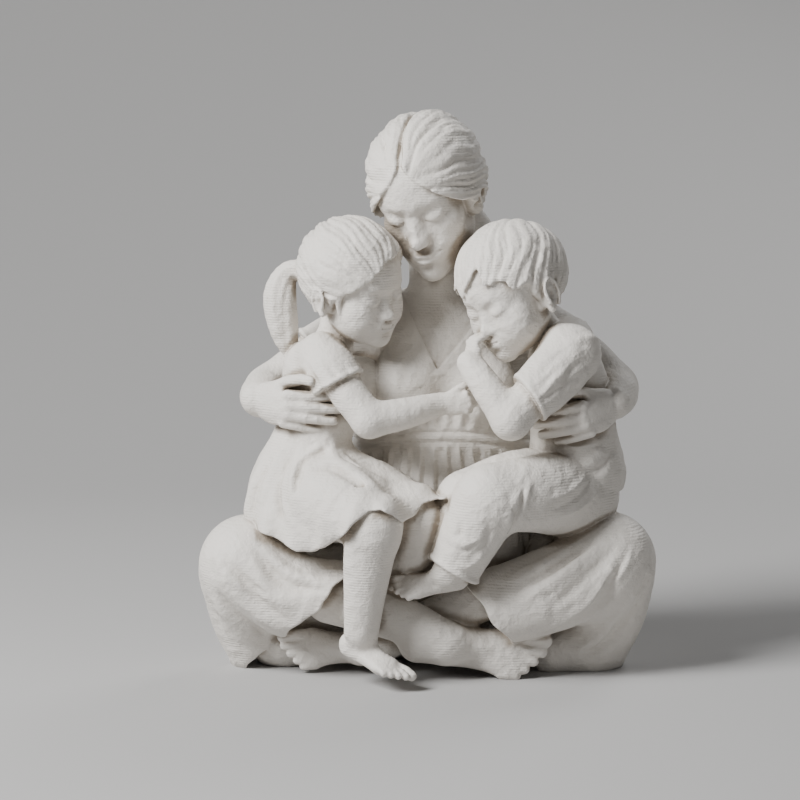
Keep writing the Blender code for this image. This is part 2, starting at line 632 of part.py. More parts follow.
def mother_blouse():
    m = MOTHER
    part = Part("mother's blouse", 0.3)
    part.egg(m["seat"], (46, 33, 38), 8)
    mother_trunk(part, CLOTH)
    part.whole(neckline, 0.8, "keep")
    part.limb([(8, 16, 94, 41.4), (8, 11, 78, 42), (8, 0, 56, 42)], 2, flat=(0, 1, 0, 1.45))
    part.whole(gathered)
    part.sleeve([(-32, 19, 148, 14.5), (-52, 15.5, 137, 13.6), (-66, 10, 127, 13)],
                (-50, 15, 138), (-0.8, -0.15, -0.55), 3)
    part.sleeve([(48, 18, 151, 14.5), (68, 14, 140, 13.4), (84, 6, 126, 13)],
                (66, 14, 141), (0.8, -0.2, -0.5), 3)
    part.fan(((52, 6, 158), (46, 4, 148)), ((38, -6, 138), (34, -6, 130)), 3, 1.8, 1.0)
    part.folds([[(20, -12, 145), (23, -18, 134), (22, -16, 121)], [(-9, -12, 143), (-12, -16, 130), (-11, -14, 118)],
                [(-3, -18, 123), (6, -16, 117), (16, -18, 121)]], 2.2, 0.9)
    part.fan(((-24, 40, 146), (36, 40, 148)), ((-6, 44, 112), (22, 44, 112)), 5, 2.4, 1.0)
    part.fan(((-28, 30, 98), (44, 30, 98)), ((-20, 38, 112), (34, 38, 112)), 8, 1.6, 0.8)
    return part


def mother_seat():
    m = MOTHER
    part = Part("mother's trousers", 1.2)
    part.limb([(-14, 32, 27, 28), (-48, 6, 41, 25), joint(m, "right knee", 20)], 10)
    part.limb([(-18, 27, 14, 25), (-64, -3, 16, 19)], 9)
    part.limb([(28, 32, 27, 28), (58, 6, 42, 25), joint(m, "left knee", 20.5)], 10)
    part.limb([(32, 27, 14, 25), (72, -3, 16, 20)], 9)
    part.egg((8, 8, 18), (44, 34, 18), 8)
    for side in (-1, 1):
        part.fan(((8 + 44 * side, 40, 50), (8 + 34 * side, 46, 30)), ((8 + 74 * side, 4, 62), (8 + 66 * side, 14, 24)),
                 4, 3.0, 1.2)
    return part


def mother_right_leg():
    """The trouser leg that hangs from the knee to the floor and is open at its slanted hem."""
    part = Part("mother's right trouser leg", 1.0)
    part.limb([joint(MOTHER, "right knee", 20), (-80, -16, 30, 17), (-74, -3, 4, 15)], 7)
    part.limb([(-79, -26, 48, 20), (-58, -32, 36, 19), (-34, -36, 34, 18)], 9)

    def hem(x, y, z):
        return hemmed(0.72 * x - 0.69 * z + 58.2 + 1.0 * np.sin(z * 0.33) + 0.3 * np.sin(z * 0.9))
    part.whole(hem, 1.2, "keep")
    part.folds([[(-90, -44, 49), (-79, -46, 32), (-62, -44, 22)], [(-77, -48, 55), (-68, -50, 40), (-54, -48, 35)],
                [(-72, -50, 64), (-55, -54, 52), (-41, -52, 49)], [(-95, -36, 35), (-87, -34, 17), (-74, -28, 10)],
                [(-98, -20, 44), (-96, -14, 24), (-88, -6, 6)]], 2.6, 2.2)
    part.folds([[(-84, -46, 52), (-74, -48, 37), (-59, -46, 28)], [(-74, -49, 61), (-62, -52, 46), (-46, -50, 42)],
                [(-93, -40, 40), (-83, -40, 23), (-70, -34, 15)]], 2.0, -2.6)
    return part


def mother_left_leg():
    """The trouser leg with deep folds that swing from the knee to the floor."""
    part = Part("mother's left trouser leg", 1.0)
    part.limb([joint(MOTHER, "left knee", 20.5), (81, -17, 30, 18), (74, -4, 4, 16)], 7)
    part.limb([(80, -28, 50, 20), (56, -36, 40, 19), (26, -36, 30, 17)], 9)
    part.limb([(70, -12, 10, 15), (56, -16, 7, 11)], 8)

    def hem(x, y, z):
        return hemmed(-0.80 * x - 0.60 * z + 40.4 + 0.8 * np.sin(z * 0.4))
    part.whole(hem, 1.2, "keep")
    part.folds([[(82, -46, 50), (76, -50, 33), (66, -50, 21), (55, -48, 14)]], 3.4, -6.0)
    part.folds([[(82, -48, 54), (77, -52, 41), (70, -54, 32), (60, -54, 23), (54, -52, 19)]], 2.4, 2.4)
    part.folds([[(97, -34, 50), (91, -34, 32), (81, -30, 15), (69, -28, 8)]], 2.2, -3.6)
    part.folds([[(92, -36, 44), (85, -38, 29), (76, -34, 15), (64, -32, 9)], [(99, -18, 44), (97, -12, 24), (88, -6, 6)]],
               2.6, 2.4)
    part.folds([[(75, -52, 65), (58, -56, 50), (41, -54, 39)], [(63, -52, 70), (47, -55, 58), (32, -54, 47)]], 3.0, 1.8)
    part.folds([[(70, -52, 66), (53, -56, 54), (36, -54, 42)], [(84, -46, 62), (68, -54, 46), (52, -54, 34)]], 2.2, -1.8)
    return part


def mother_shins():
    m = MOTHER
    part = Part("mother's shins and feet", 0.8)
    part.limb([(-42.5, -32, 35.2, 11.5), (-20.3, -38, 30.1, 11), (-3, -41, 23.5, 9.6), (9, -42, 16.8, 8.6)], 2)
    part.limb([(32.9, -30, 38.5, 11), (10.8, -26, 27.8, 10), (-11.5, -24, 17.5, 9), (-28.5, -28, 11.6, 7.6)], 2)
    part.place(m["right ankle"], axes((0.975, -0.19, -0.08), (0.10, -1, 0.25)), MOTHER_RIGHT_FOOT)
    foot(part, 1, (0.03, -0.22, 0.0))
    part.place(m["left ankle"], axes((-0.96, -0.26, 0.02), (-0.12, -1, 0.20)), MOTHER_LEFT_FOOT)
    foot(part, -1, (0.03, -0.22, 0.0))
    return part


def mother_head():
    part = Part("mother's head", 0.6)
    part.place(MOTHER["head"], axes((-0.28, -0.86, -0.42), (-0.17, 0, 1)), MOTHER_HEAD)
    face(part, 0.0)
    part.own(mother_hair, (0, -0.05, 0.05), 0.6, 0.008)
    ears(part, 1.0, 0.0)
    part.place()
    tail(part, [(18, 26, 200, 9), (23, 34, 186, 11.5), (24, 38, 166, 9.5), (22, 38, 144, 4)], 9)
    return part


def mother_hands():
    m = MOTHER
    part = Part("mother's hands", 0.3)
    part.place((-75, -21.5, 123), axes((0.66, -0.735, -0.147), (-0.735, -0.66, 0.0)), MOTHER_HAND)
    hand(part, 1, 0.30, 0.05, 0.36)
    part.place((83, -30, 122), axes((-0.66, -0.70, -0.27), (0.65, -0.72, 0.1)), MOTHER_HAND)
    hand(part, -1, 0.40, 0.05, 0.50)
    return part


# Places of the girl, who sits on the mother's right thigh
GIRL = {
    "neck": (-39.5, -20, 153.5), "skull": (-37.5, -20, 165), "head": (-31.6, -22, 172.6),
    "chest": (-47, -21, 118), "waist": (-51, -20, 104), "hips": (-55, -17, 84),
    "shoulder": (-41.5, -33, 138), "elbow": (-25, -45, 116.4), "wrist": (6.1, -35, 122.2),
    "near knee": (-23.5, -63, 69), "near ankle": (-28.5, -57, 24.9), "far knee": (-4, -46, 72)}


# Places along the hem of the girl's dress: across, and height over the floor
DRESS_HEM = ((-92, 64), (-79, 68), (-67, 65), (-57, 60), (-51, 60), (-44, 63), (-38.5, 67), (-31.7, 75.5), (-25, 80.5),
             (-20, 81.5), (-15, 79), (-10.8, 75), (-5.8, 76.5), (-1.6, 81.5), (5, 83))


def girl_skin():
    g = GIRL
    part = Part("girl's skin", 0.6)
    part.limb([(-42.5, -20, 143.6, 10), joint(g, "neck", 8.2), joint(g, "skull", 8.5)], 5)
    part.limb([(-50, -28, 78, 13), (-26, -58, 73, 12.5), joint(g, "near knee", 12.2)], 3)
    part.limb([(-22.7, -62, 74.2, 12.2), (-25.3, -61, 57.4, 10.9), (-27.1, -59, 40.3, 9.0),
               joint(g, "near ankle", 7.6)], 3)
    part.limb([(-40, -14, 78, 13), joint(g, "far knee", 11.5)], 3)
    part.limb([joint(g, "far knee", 11.5), (-4.5, -44, 61.1, 11), (-10.6, -38, 46.6, 9)], 3)
    part.limb([joint(g, "shoulder", 8.8), (-34.6, -40, 128.1, 8.2), joint(g, "elbow", 7.6)], 3)
    part.limb([joint(g, "elbow", 7.6), (-10.6, -42, 118.7, 7.0), joint(g, "wrist", 5.2)], 3)
    part.place((-28.5, -54.5, 21.6), axes((0.74, -0.56, -0.27), (0, 0, 1)), GIRL_FOOT)
    foot(part, 1)
    part.place((6, -37, 122), axes((0.98, -0.02, 0.10), (0.0, -0.98, 0.1)), GIRL_HAND)
    hand(part, 1, 0.75, 0.0, 0.35, 1.15)
    return part


def girl_dress():
    """A dress with cap sleeves that spreads over the mother's thigh and ends in a waving hem."""
    g = GIRL
    part = Part("girl's dress", 0.3)
    part.limb([(-48, -19, 134, 16), joint(g, "chest", 16.8), joint(g, "waist", 17.5), joint(g, "hips", 22)],
              5, flat=(0.3, 1, 0, 1.1))
    part.limb([(-54, -10, 138, 9), (-44, -27, 140, 9)], 5)
    part.limb([(-44, -16, 130, 13), (-29, -6, 127, 13)], 5)
    part.limb([(-55, -20, 82, 21.5), (-42, -40, 80, 20), (-25, -61, 73, 15.5)], 8)
    part.limb([(-52, -10, 80, 23), (-26, -28, 79, 18), (-8, -44, 74, 14), (0, -49, 72, 13)], 8)
    part.limb([(-60, -24, 72, 19), (-58, -33, 66, 16), (-50, -46, 60, 10)], 8)

    def above_hem(x, y, z):
        sweep = np.interp(x, [p[0] for p in DRESS_HEM], [p[1] for p in DRESS_HEM])
        return z - sweep + 14 * smoothstep(-42, -26, y) * smoothstep(-50, -30, x)

    def hem(x, y, z):
        return hemmed(-0.85 * above_hem(x, y, z))

    def flare(x, y, z):
        near = bell(np.maximum(above_hem(x, y, z), 0), 9)
        return (1.2 + 1.5 * np.sin(0.36 * (x - 0.5 * y) + 0.6)) * near * smoothstep(-20, -34, y)
    part.whole(flare)
    part.whole(hem, 1.2, "keep")
    part.sleeve([(-46, -27, 142.5, 11), (-41.5, -34, 136, 12), (-35, -40, 125.5, 11.6)],
                (-38.5, -38, 131.2), (0.42, -0.2, -0.80), 3, 0.7)
    part.folds([[(-40, -40, 110), (-50, -42, 103), (-56, -44, 95), (-55, -46, 86), (-50, -48, 76)],
                [(-46, -46, 97), (-40, -48, 98), (-30, -54, 92), (-22, -62, 85)],
                [(-38, -40, 110), (-39, -44, 103), (-33, -50, 96), (-24, -52, 91)]], 2.6, 2.2)
    part.folds([[(-32, -42, 109), (-33, -44, 101), (-28, -48, 95), (-17, -50, 89)],
                [(-64, -34, 105), (-69, -36, 92), (-70, -36, 76)],
                [(-73, -26, 94), (-76, -28, 82), (-75, -26, 70)], [(-74, -8, 96), (-77, -4, 82), (-74, 0, 70)],
                [(-60, -44, 82), (-56, -48, 72), (-46, -50, 66)]], 2.2, 1.6)
    part.folds([[(-42, -42, 107), (-53, -43, 100), (-54, -46, 91), (-52, -48, 82)],
                [(-49, -48, 93), (-42, -50, 94), (-33, -56, 88), (-27, -62, 82)]], 1.8, -3.2)
    part.folds([[(-37, -44, 104), (-36, -46, 100), (-30, -50, 93)],
                [(-59, -38, 103), (-63, -40, 91), (-62, -42, 76)],
                [(-69, -32, 98), (-73, -32, 86), (-73, -30, 73)], [(-66, -44, 84), (-62, -46, 72)]], 1.6, -1.9)
    part.fan(((-50, -36, 140), (-37, -44, 141)), ((-44, -44, 131), (-33, -46, 134)), 5, 1.1, -0.9)
    return part


def girl_head():
    part = Part("girl's head", 0.5)
    part.place(GIRL["head"], axes((0.72, -0.65, -0.20), (-0.16, -0.05, 1)), GIRL_HEAD)
    face(part, 1.0)
    part.own(girl_hair, (0, -0.05, 0.05), 0.6, 0.008)
    ears(part, 1.0, 0.02)
    part.limb([(0.285, 0.20, 0.13, 0.030), (0.315, 0.135, 0.02, 0.030), (0.300, 0.125, -0.09, 0.024),
               (0.285, 0.135, -0.20, 0.008)], 0.01)
    part.place()
    tail(part, [(-52, -14, 179, 5), (-61.2, -12, 178.4, 5), (-65, -12, 167.7, 7.5), (-63.1, -12, 152.5, 6.5),
                (-60, -12, 140.5, 2.5)], 7)
    return part


# Places of the boy, who sits on the mother's left thigh
BOY = {
    "neck": (52, -21, 152), "skull": (46, -22, 160), "head": (38.6, -26, 169.8),
    "chest": (64, -18, 124), "waist": (66, -18, 104), "hips": (67, -17, 88),
    "shoulder": (63.7, -38, 143.7), "elbow": (36.5, -54, 117.5), "wrist": (19, -42, 141),
    "near knee": (28, -58, 84), "near ankle": (9.8, -55, 51), "far knee": (18, -42, 81)}


def boy_skin():
    b = BOY
    part = Part("boy's skin", 0.6)
    part.limb([(57, -20, 144, 10), joint(b, "neck", 9), joint(b, "skull", 9)], 5)
    part.limb([(13.7, -56, 55.6, 8.5), joint(b, "near ankle", 7.2)], 2)
    part.limb([joint(b, "shoulder", 11), (51.6, -46, 133.2, 9.8), joint(b, "elbow", 8.3)], 3)
    part.limb([joint(b, "elbow", 8.3), (27, -49, 130, 7), joint(b, "wrist", 5.8)], 3)
    part.place(b["near ankle"], axes((-0.98, -0.15, -0.10), (-0.1, -0.65, 0.75)), BOY_FOOT)
    foot(part, -1)
    part.place(b["wrist"], axes((0.14, 0.24, 0.96), (-0.80, -0.58, 0.12)), BOY_HAND)
    hand(part, -1, 0.60, 0.0, 0.30, 1.2, False)
    return part


def boy_trousers():
    b = BOY
    part = Part("boy's trousers", 0.5)
    part.limb([(66, -22, 80, 20), (48, -46, 84, 17), joint(b, "near knee", 15)], 5)
    part.limb([(66, -10, 80, 20), (40, -30, 86, 15), joint(b, "far knee", 13)], 5)
    part.sleeve([(26.6, -58, 81.4, 15), (20.6, -58, 70.9, 14), (12.9, -56, 53.9, 11.5), (10.3, -56, 47.7, 11.5)],
                (10.7, -56, 52.1), (-0.5, 0, -0.87), 4)
    part.sleeve([(17.4, -42, 78.5, 13), (13.1, -44, 67.7, 12), (8.7, -46, 50.3, 10)],
                (9.5, -46, 53.9), (-0.3, 0, -0.9), 4)
    part.folds([[(31, -70, 82), (35, -68, 72), (28, -66, 62), (19, -66, 60)], [(40, -66, 89), (36, -70, 82), (34, -68, 74)]],
               1.8, 1.3)
    part.folds([[(33, -70, 85), (37, -66, 77), (34, -64, 67)], [(27, -72, 77), (25, -70, 65), (17, -68, 62)],
                [(15, -70, 76), (14, -70, 68)]], 1.4, -1.3)
    return part


def boy_shirt():
    """A shirt with short sleeves that hangs over the trousers to a loose hem."""
    b = BOY
    part = Part("boy's shirt", 0.3)
    part.limb([(61, -20, 139, 16), joint(b, "chest", 18.3), joint(b, "waist", 19.6), (67, -18, 90, 22.4)], 5)
    part.limb([(60, -36, 146, 11.5), (64, -2, 146, 12)], 6)

    def hem(x, y, z):
        return hemmed(92.5 - z - 0.33 * (x - 59) + 0.1 * (y + 20) + 1.0 * np.sin(x * 0.35))
    part.whole(hem, 1.2, "keep")
    part.sleeve([(63.7, -37, 144.5, 13), (52.9, -46, 134.1, 12.4), (42.2, -52, 124.3, 11)],
                (42, -51, 130), (-0.80, -0.25, -0.50), 3, 0.4)
    part.folds([[(82, -30, 110), (72, -38, 97), (59, -40, 90)], [(50, -42, 102), (59, -42, 94), (77, -36, 90)],
                [(46, -40, 107), (43, -40, 97), (50, -42, 90)], [(80, 0, 130), (76, 2, 112), (70, 4, 96)]], 2.2, 1.2)
    part.folds([[(83, -28, 103), (75, -36, 93), (63, -40, 88)], [(58, -56, 127), (60, -52, 138), (69, -44, 144)]], 1.6, -1.3)
    part.folds([[(47, -60, 137), (51, -58, 142), (59, -52, 148)], [(44, -62, 131), (49, -62, 133), (56, -58, 139)]], 1.5, -0.9)
    return part


def boy_head():
    part = Part("boy's head", 0.5)
    part.place(BOY["head"], axes((-0.68, -0.62, -0.36), (-0.28, 0, 1)), BOY_HEAD)
    face(part, 1.0)
    part.own(boy_hair, (0, -0.05, 0.05), 0.6, 0.008)
    ears(part, 1.1, 0.02)
    return part


def all_parts():
    return [mother_skin(), mother_blouse(), mother_seat(), mother_right_leg(), mother_left_leg(), mother_shins(),
            mother_head(), mother_hands(), girl_skin(), girl_dress(), girl_head(), boy_skin(), boy_trousers(),
            boy_shirt(), boy_head()]


def largest_body(points, quads):
    """Keep the one closed skin that holds the sculpture, without stray islands or sealed hollows."""
    label = np.arange(len(points))
    a = np.concatenate([quads[:, 0], quads[:, 1], quads[:, 2]])
    b = np.concatenate([quads[:, 1], quads[:, 2], quads[:, 3]])
    while True:
        low = np.minimum(label[a], label[b])
        before = label.copy()
        np.minimum.at(label, a, low)
        np.minimum.at(label, b, low)
        label = label[label]
        if np.array_equal(label, before):
            break
    names, counts = np.unique(label, return_counts=True)
    keep = label == names[np.argmax(counts)]
    number = np.cumsum(keep) - 1
    return points[keep], number[quads[keep[quads[:, 0]]]]


def mesh_from(name, points, quads):
    mesh = bpy.data.meshes.new(name)
    mesh.vertices.add(len(points))
    mesh.vertices.foreach_set("co", points.astype(np.float32).ravel())
    mesh.loops.add(quads.size)
    mesh.loops.foreach_set("vertex_index", quads.astype(np.int32).ravel())
    mesh.polygons.add(len(quads))
    mesh.polygons.foreach_set("loop_start", np.arange(0, quads.size, 4, dtype=np.int32))
    mesh.update(calc_edges=True)
    return mesh


def simplify(item, count):
    """Reduce the triangles to a number, keeping more of them where the surface turns."""
    item.data.calc_loop_triangles()
    thin = item.modifiers.new("thin", "DECIMATE")
    thin.ratio = count / len(item.data.loop_triangles)
    thin.use_collapse_triangulate = True
    bpy.context.view_layer.objects.active = item
    item.select_set(True)
    bpy.ops.object.modifier_apply(modifier=thin.name)


def fit(mesh):
    """Size the mesh in metres, HEIGHT tall, standing on the floor with the middle of its box at 0."""
    points = np.empty(len(mesh.vertices) * 3)
    mesh.vertices.foreach_get("co", points)
    points = points.reshape(-1, 3)
    low, high = points.min(0), points.max(0)
    middle = np.array([(low[0] + high[0]) / 2, (low[1] + high[1]) / 2, low[2]])
    points = (points - middle) * (HEIGHT / (high[2] - low[2]))
    points[points[:, 2] < FLAT_BAND, 2] = 0
    mesh.vertices.foreach_set("co", points.ravel())
    mesh.update()


def sculpture():
    """The whole group as one object."""
    grid = measure(Clay(all_parts()), BOX_LOW, BOX_HIGH, CELL)
    points, quads = largest_body(*skin_of(grid, BOX_LOW, CELL))
    item = bpy.data.objects.new(NAME, mesh_from(NAME, points, quads))
    bpy.context.scene.collection.objects.link(item)
    simplify(item, TRIANGLES)
    fit(item.data)
    return item


for old in list(bpy.data.objects):
    bpy.data.objects.remove(old, do_unlink=True)
sculpture()
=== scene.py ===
"""Mother and children sculpture: the fine surface and its matt cast finish, on a plain stage.

The figures are shaped like clay, as rounded solids that are blended, cut and folded, in millimetres at a
height of about 250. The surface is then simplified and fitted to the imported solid, which it stands for.
"""
import json
import math

import bpy
import numpy as np
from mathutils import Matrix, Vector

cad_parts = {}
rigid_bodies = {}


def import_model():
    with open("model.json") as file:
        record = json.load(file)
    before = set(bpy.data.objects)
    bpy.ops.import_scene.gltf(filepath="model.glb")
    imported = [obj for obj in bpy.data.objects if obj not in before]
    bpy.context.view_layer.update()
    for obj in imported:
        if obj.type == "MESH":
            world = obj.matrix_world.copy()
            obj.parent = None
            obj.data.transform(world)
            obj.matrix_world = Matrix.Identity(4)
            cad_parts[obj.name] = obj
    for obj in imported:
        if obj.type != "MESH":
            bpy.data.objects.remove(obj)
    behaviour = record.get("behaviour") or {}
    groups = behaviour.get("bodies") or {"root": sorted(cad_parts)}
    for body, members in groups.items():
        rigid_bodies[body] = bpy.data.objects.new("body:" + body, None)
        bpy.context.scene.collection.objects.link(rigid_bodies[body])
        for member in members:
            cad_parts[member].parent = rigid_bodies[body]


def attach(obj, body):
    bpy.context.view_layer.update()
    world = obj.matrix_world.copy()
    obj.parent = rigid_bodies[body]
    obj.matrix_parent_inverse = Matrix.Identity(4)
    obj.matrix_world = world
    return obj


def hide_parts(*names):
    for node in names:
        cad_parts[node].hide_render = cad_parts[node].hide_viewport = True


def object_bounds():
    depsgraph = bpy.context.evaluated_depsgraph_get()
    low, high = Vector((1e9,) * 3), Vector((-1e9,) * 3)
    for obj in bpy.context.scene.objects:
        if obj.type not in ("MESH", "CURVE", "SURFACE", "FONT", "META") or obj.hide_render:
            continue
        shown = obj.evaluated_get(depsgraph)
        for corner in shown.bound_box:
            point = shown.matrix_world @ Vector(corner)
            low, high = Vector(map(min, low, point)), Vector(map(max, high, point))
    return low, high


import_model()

import openvdb
from mathutils import Vector

bl_info = {
    "name": "Mother and children sculpture",
    "version": (1, 0, 0),
    "blender": (4, 5, 0),
    "location": "3D View > Sidebar > Sculpture",
    "description": "Models a seated mother with two children, its cast finish and a plain stage",
    "category": "Object",
}

SOLID_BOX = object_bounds()

# Heights of the cloth and hair forms, in millimetres at a height of 250
CLOTH = 1.2               # how far the blouse stands off the skin
CLOTH_LIP = 0.9           # thickening along a hem
WAIST_TOP = 107.0         # heights of the two grooves of the waistband
WAIST_FOOT = 102.5
GATHERS = 38.0            # gathers in a turn round the waist, times a half turn
HAIR_DEPTH = 0.040        # depth of the locks, in head lengths

# How the surface is worked out, in millimetres
BOX_LOW = (-108, -90, -4)
BOX_HIGH = (108, 84, 256)
BLOCK = 8                 # grid cells along a block
BATCH = 6                 # blocks along a side that are looked at roughly at one time
NEAR = 0.8                # room beyond a block within which the surface counts as near
JOB_SIZE = 16.0           # side of the boxes that are measured at one time
BOX_PAD = 2.5             # room left round each form
FAR = 60.0                # a distance that counts as empty

NAME = "mother_and_children_cast"
HOLLOW = "hollow"         # attribute that tells how deep in a hollow each vertex lies
HOLLOW_REACH = 4.0        # how far out it is felt, in millimetres
FLAT_BAND = 0.0004        # what ends this near the floor lies flat on it, in metres

# Patterns of the cast surface: how many times they repeat in a metre
DRIFT_SCALE = 9.0         # slow wander of the layer lines
UNEVEN_SCALE = 60.0       # where the lines show more or less
STROKE_SCALE = 260.0      # strokes of the modelling tool
GOUGE_SCALE = 210.0       # flat cuts of the tool
WORKED_SCALE = 34.0       # areas that the cuts lie in
PATCH_SCALE = 28.0        # patches of tone
GRAIN_SCALE = 2600.0      # fine grain
STROKE_TURN = (0.5, 0.35, 0.2)       # how the strokes lie, in radians
STROKE_STRETCH = (1.0, 0.35, 1.0)    # how long they are drawn out
GOUGE_SHARE = 0.9         # depth of the cuts as a share of the strokes' depth
GRAIN_DEPTH = 0.00005     # in metres
PATCH_COLOUR = (0.66, 0.62, 0.56, 1.0)
# lighter colour laid on sharp edges
SHARP_EDGE_COLOUR = (0.90, 0.88, 0.85, 1.0)

# The lights: where they hang and how wide they are, in metres
KEY_LIGHT = ((-0.95, -0.70, 1.0), 0.60)
FILL_LIGHT = ((0.9, -0.9, 0.45), 0.8)
RIM_LIGHT = ((0.6, 0.8, 0.8), 0.5)
LIT_PLACE = (0, 0, 0.12)  # what they point at
SKY_COLOUR = (0.95, 0.97, 1.0, 1.0)

# Where the camera stands, in metres and degrees
VIEW_TARGET = (-0.0121, 0.0057, 0.1195)
VIEW_HEIGHT_DEGREES = 7.0
VIEW_DISTANCE = 1.4
VIEW_LENS = 140.0

# The floor and the backdrop it curves into, in metres
SWEEP_LENGTH = 4.0        # reach to the front and the sides, and height of the backdrop
SWEEP_BACK = 0.5          # where the curve begins behind the sculpture
SWEEP_RADIUS = 1.0
SWEEP_STEPS = 24


class FigureSizes(bpy.types.PropertyGroup):
    """Sizes of the figures and fineness of their surface."""

    mother_head: bpy.props.FloatProperty(
        name="Mother's head", description="Chin to crown of the mother", default=0.0645, min=0.03,
        unit="LENGTH")
    girl_head: bpy.props.FloatProperty(
        name="Girl's head", description="Chin to crown of the girl", default=0.0545, min=0.02, unit="LENGTH")
    boy_head: bpy.props.FloatProperty(
        name="Boy's head", description="Chin to crown of the boy", default=0.0575, min=0.02, unit="LENGTH")
    mother_hand: bpy.props.FloatProperty(
        name="Mother's hand", description="Wrist to finger tip of the mother", default=0.0465, min=0.02,
        unit="LENGTH")
    girl_hand: bpy.props.FloatProperty(
        name="Girl's hand", description="Wrist to finger tip of the girl", default=0.027, min=0.01,
        unit="LENGTH")
    boy_hand: bpy.props.FloatProperty(
        name="Boy's hand", description="Wrist to finger tip of the boy", default=0.023, min=0.01,
        unit="LENGTH")
    mother_right_foot: bpy.props.FloatProperty(
        name="Mother's front foot", description="Heel to toe of the foot in front", default=0.060, min=0.03,
        unit="LENGTH")
    mother_left_foot: bpy.props.FloatProperty(
        name="Mother's rear foot", description="Heel to toe of the foot half under the hem", default=0.049,
        min=0.03, unit="LENGTH")
    girl_foot: bpy.props.FloatProperty(
        name="Girl's foot", description="Heel to toe of the girl", default=0.039, min=0.02, unit="LENGTH")
    boy_foot: bpy.props.FloatProperty(
        name="Boy's foot", description="Heel to toe of the boy", default=0.037, min=0.02, unit="LENGTH")
    cell: bpy.props.FloatProperty(
        name="Grid step", description="Step of the grid that the surface is worked out on", default=0.0006,
        min=0.0003, unit="LENGTH")
    triangles: bpy.props.IntProperty(
        name="Triangles", description="Triangles left after simplifying", default=196000, min=20000)


class CastFinish(bpy.types.PropertyGroup):
    """Colour and surface of the cast material."""

    body_colour: bpy.props.FloatVectorProperty(
        name="Body colour", description="Colour of the cast material", subtype="COLOR", size=4, min=0.0,
        max=1.0,
        default=(0.70, 0.665, 0.615, 1.0))
    # Painted shade: the colour that the hollows are darkened to, in place of the shade that falls there
    painted_shade_colour: bpy.props.FloatVectorProperty(
        name="Hollow colour", description="Colour where dust stays in the hollows", subtype="COLOR", size=4,
        min=0.0, max=1.0, default=(0.27, 0.22, 0.165, 1.0))
    roughness: bpy.props.FloatProperty(
        name="Roughness", description="Roughness of the bare surface", default=0.62, min=0.0, max=1.0)
    layer_height: bpy.props.FloatProperty(
        name="Layer height", description="Height of one layer line", default=0.0012, min=0.0001,
        unit="LENGTH")
    layer_depth: bpy.props.FloatProperty(
        name="Layer depth", description="Depth of the groove between two layers", default=0.00005, min=0.0,
        unit="LENGTH")
    stroke_depth: bpy.props.FloatProperty(
        name="Stroke depth", description="Depth of the strokes of the modelling tool", default=0.0009,
        min=0.0,
        unit="LENGTH")


class StageSettings(bpy.types.PropertyGroup):
    """Floor, backdrop and lights."""

    floor_colour: bpy.props.FloatVectorProperty(
        name="Floor colour", description="Colour of the floor and the backdrop", subtype="COLOR", size=4,
        min=0.0, max=1.0,
        default=(0.42, 0.415, 0.41, 1.0))
    key_power: bpy.props.FloatProperty(
        name="Key light", description="Power of the main light, in watts", default=46.0, min=0.0)
    fill_power: bpy.props.FloatProperty(
        name="Fill light", description="Power of the weaker light in front, in watts", default=1.5, min=0.0)
    rim_power: bpy.props.FloatProperty(
        name="Rim light", description="Power of the light behind, in watts", default=5.0, min=0.0)
    sky_strength: bpy.props.FloatProperty(
        name="Sky", description="Strength of the even light all round", default=0.025, min=0.0)


def millimetres(name):
    """A size of the figures in the unit that they are shaped in."""
    return 1000 * getattr(bpy.context.scene.figure_sizes, name)


def unit(v):
    """The same direction, one unit long."""
    v = np.array(v, float)
    return v / np.linalg.norm(v)


def lerp(a, b, t):
    """The value that lies a share t of the way from a to b."""
    return a + (b - a) * t


def smoothstep(low, high, x):
    """0 below low, 1 above high, and a smooth rise between them."""
    t = np.clip((x - low) / (high - low), 0, 1)
    return t * t * (3 - 2 * t)


def bell(x, width):
    """1 at nought, and less on both sides of it."""
    return np.exp(-(x / width) ** 2)


def smooth_min(a, b, blend):
    """The nearer of two surfaces, with the corner between them filled."""
    if blend <= 0:
        return np.minimum(a, b)
    h = np.maximum(blend - np.abs(a - b), 0.0)
    return np.minimum(a, b) - h * h * (0.25 / blend)


def smooth_max(a, b, blend):
    """The further of two surfaces, with the edge between them rounded."""
    return -smooth_min(-a, -b, blend)


def ball_distance(P, centre, radius):
    """Distance to the skin of a ball."""
    x, y, z = P[0] - centre[0], P[1] - centre[1], P[2] - centre[2]
    return np.sqrt(x * x + y * y + z * z) - radius


def egg_distance(P, centre, radii, turn=None):
    """Distance to the skin of an egg, whose axes are the rows of turn."""
    x, y, z = P[0] - centre[0], P[1] - centre[1], P[2] - centre[2]
    if turn is not None:
        x, y, z = (row[0] * x + row[1] * y + row[2] * z for row in turn)
    x, y, z = x / radii[0], y / radii[1], z / radii[2]
    reach = np.sqrt(x * x + y * y + z * z)
    x, y, z = x / radii[0], y / radii[1], z / radii[2]
    slope = np.sqrt(x * x + y * y + z * z) + 1e-6
    return reach * (reach - 1.0) / slope


def curve(points, steps):
    """A smooth line through the given places. Each place may carry more numbers, such as a radius."""
    p = np.array(points, float)
    if len(p) < 3 or steps < 2:
        return p
    ends = np.vstack([2 * p[0] - p[1], p, 2 * p[-1] - p[-2]])
    line = []
    for i in range(len(p) - 1):
        a, b, c, d = ends[i:i + 4]
        for t in np.arange(steps) / steps:
            line.append(0.5 * (2 * b + (c - a) * t + (2 * a - 5 * b + 4 * c - d) * t * t
                               + (3 * b - a - 3 * c + d) * t ** 3))
    line.append(p[-1])
    return np.array(line)


def axes(forward, up):
    """Rows that point right, forward and up for a head, a hand or a foot."""
    f = unit(forward)
    r = unit(np.cross(f, up))
    return np.array([r, f, np.cross(r, f)], np.float32)


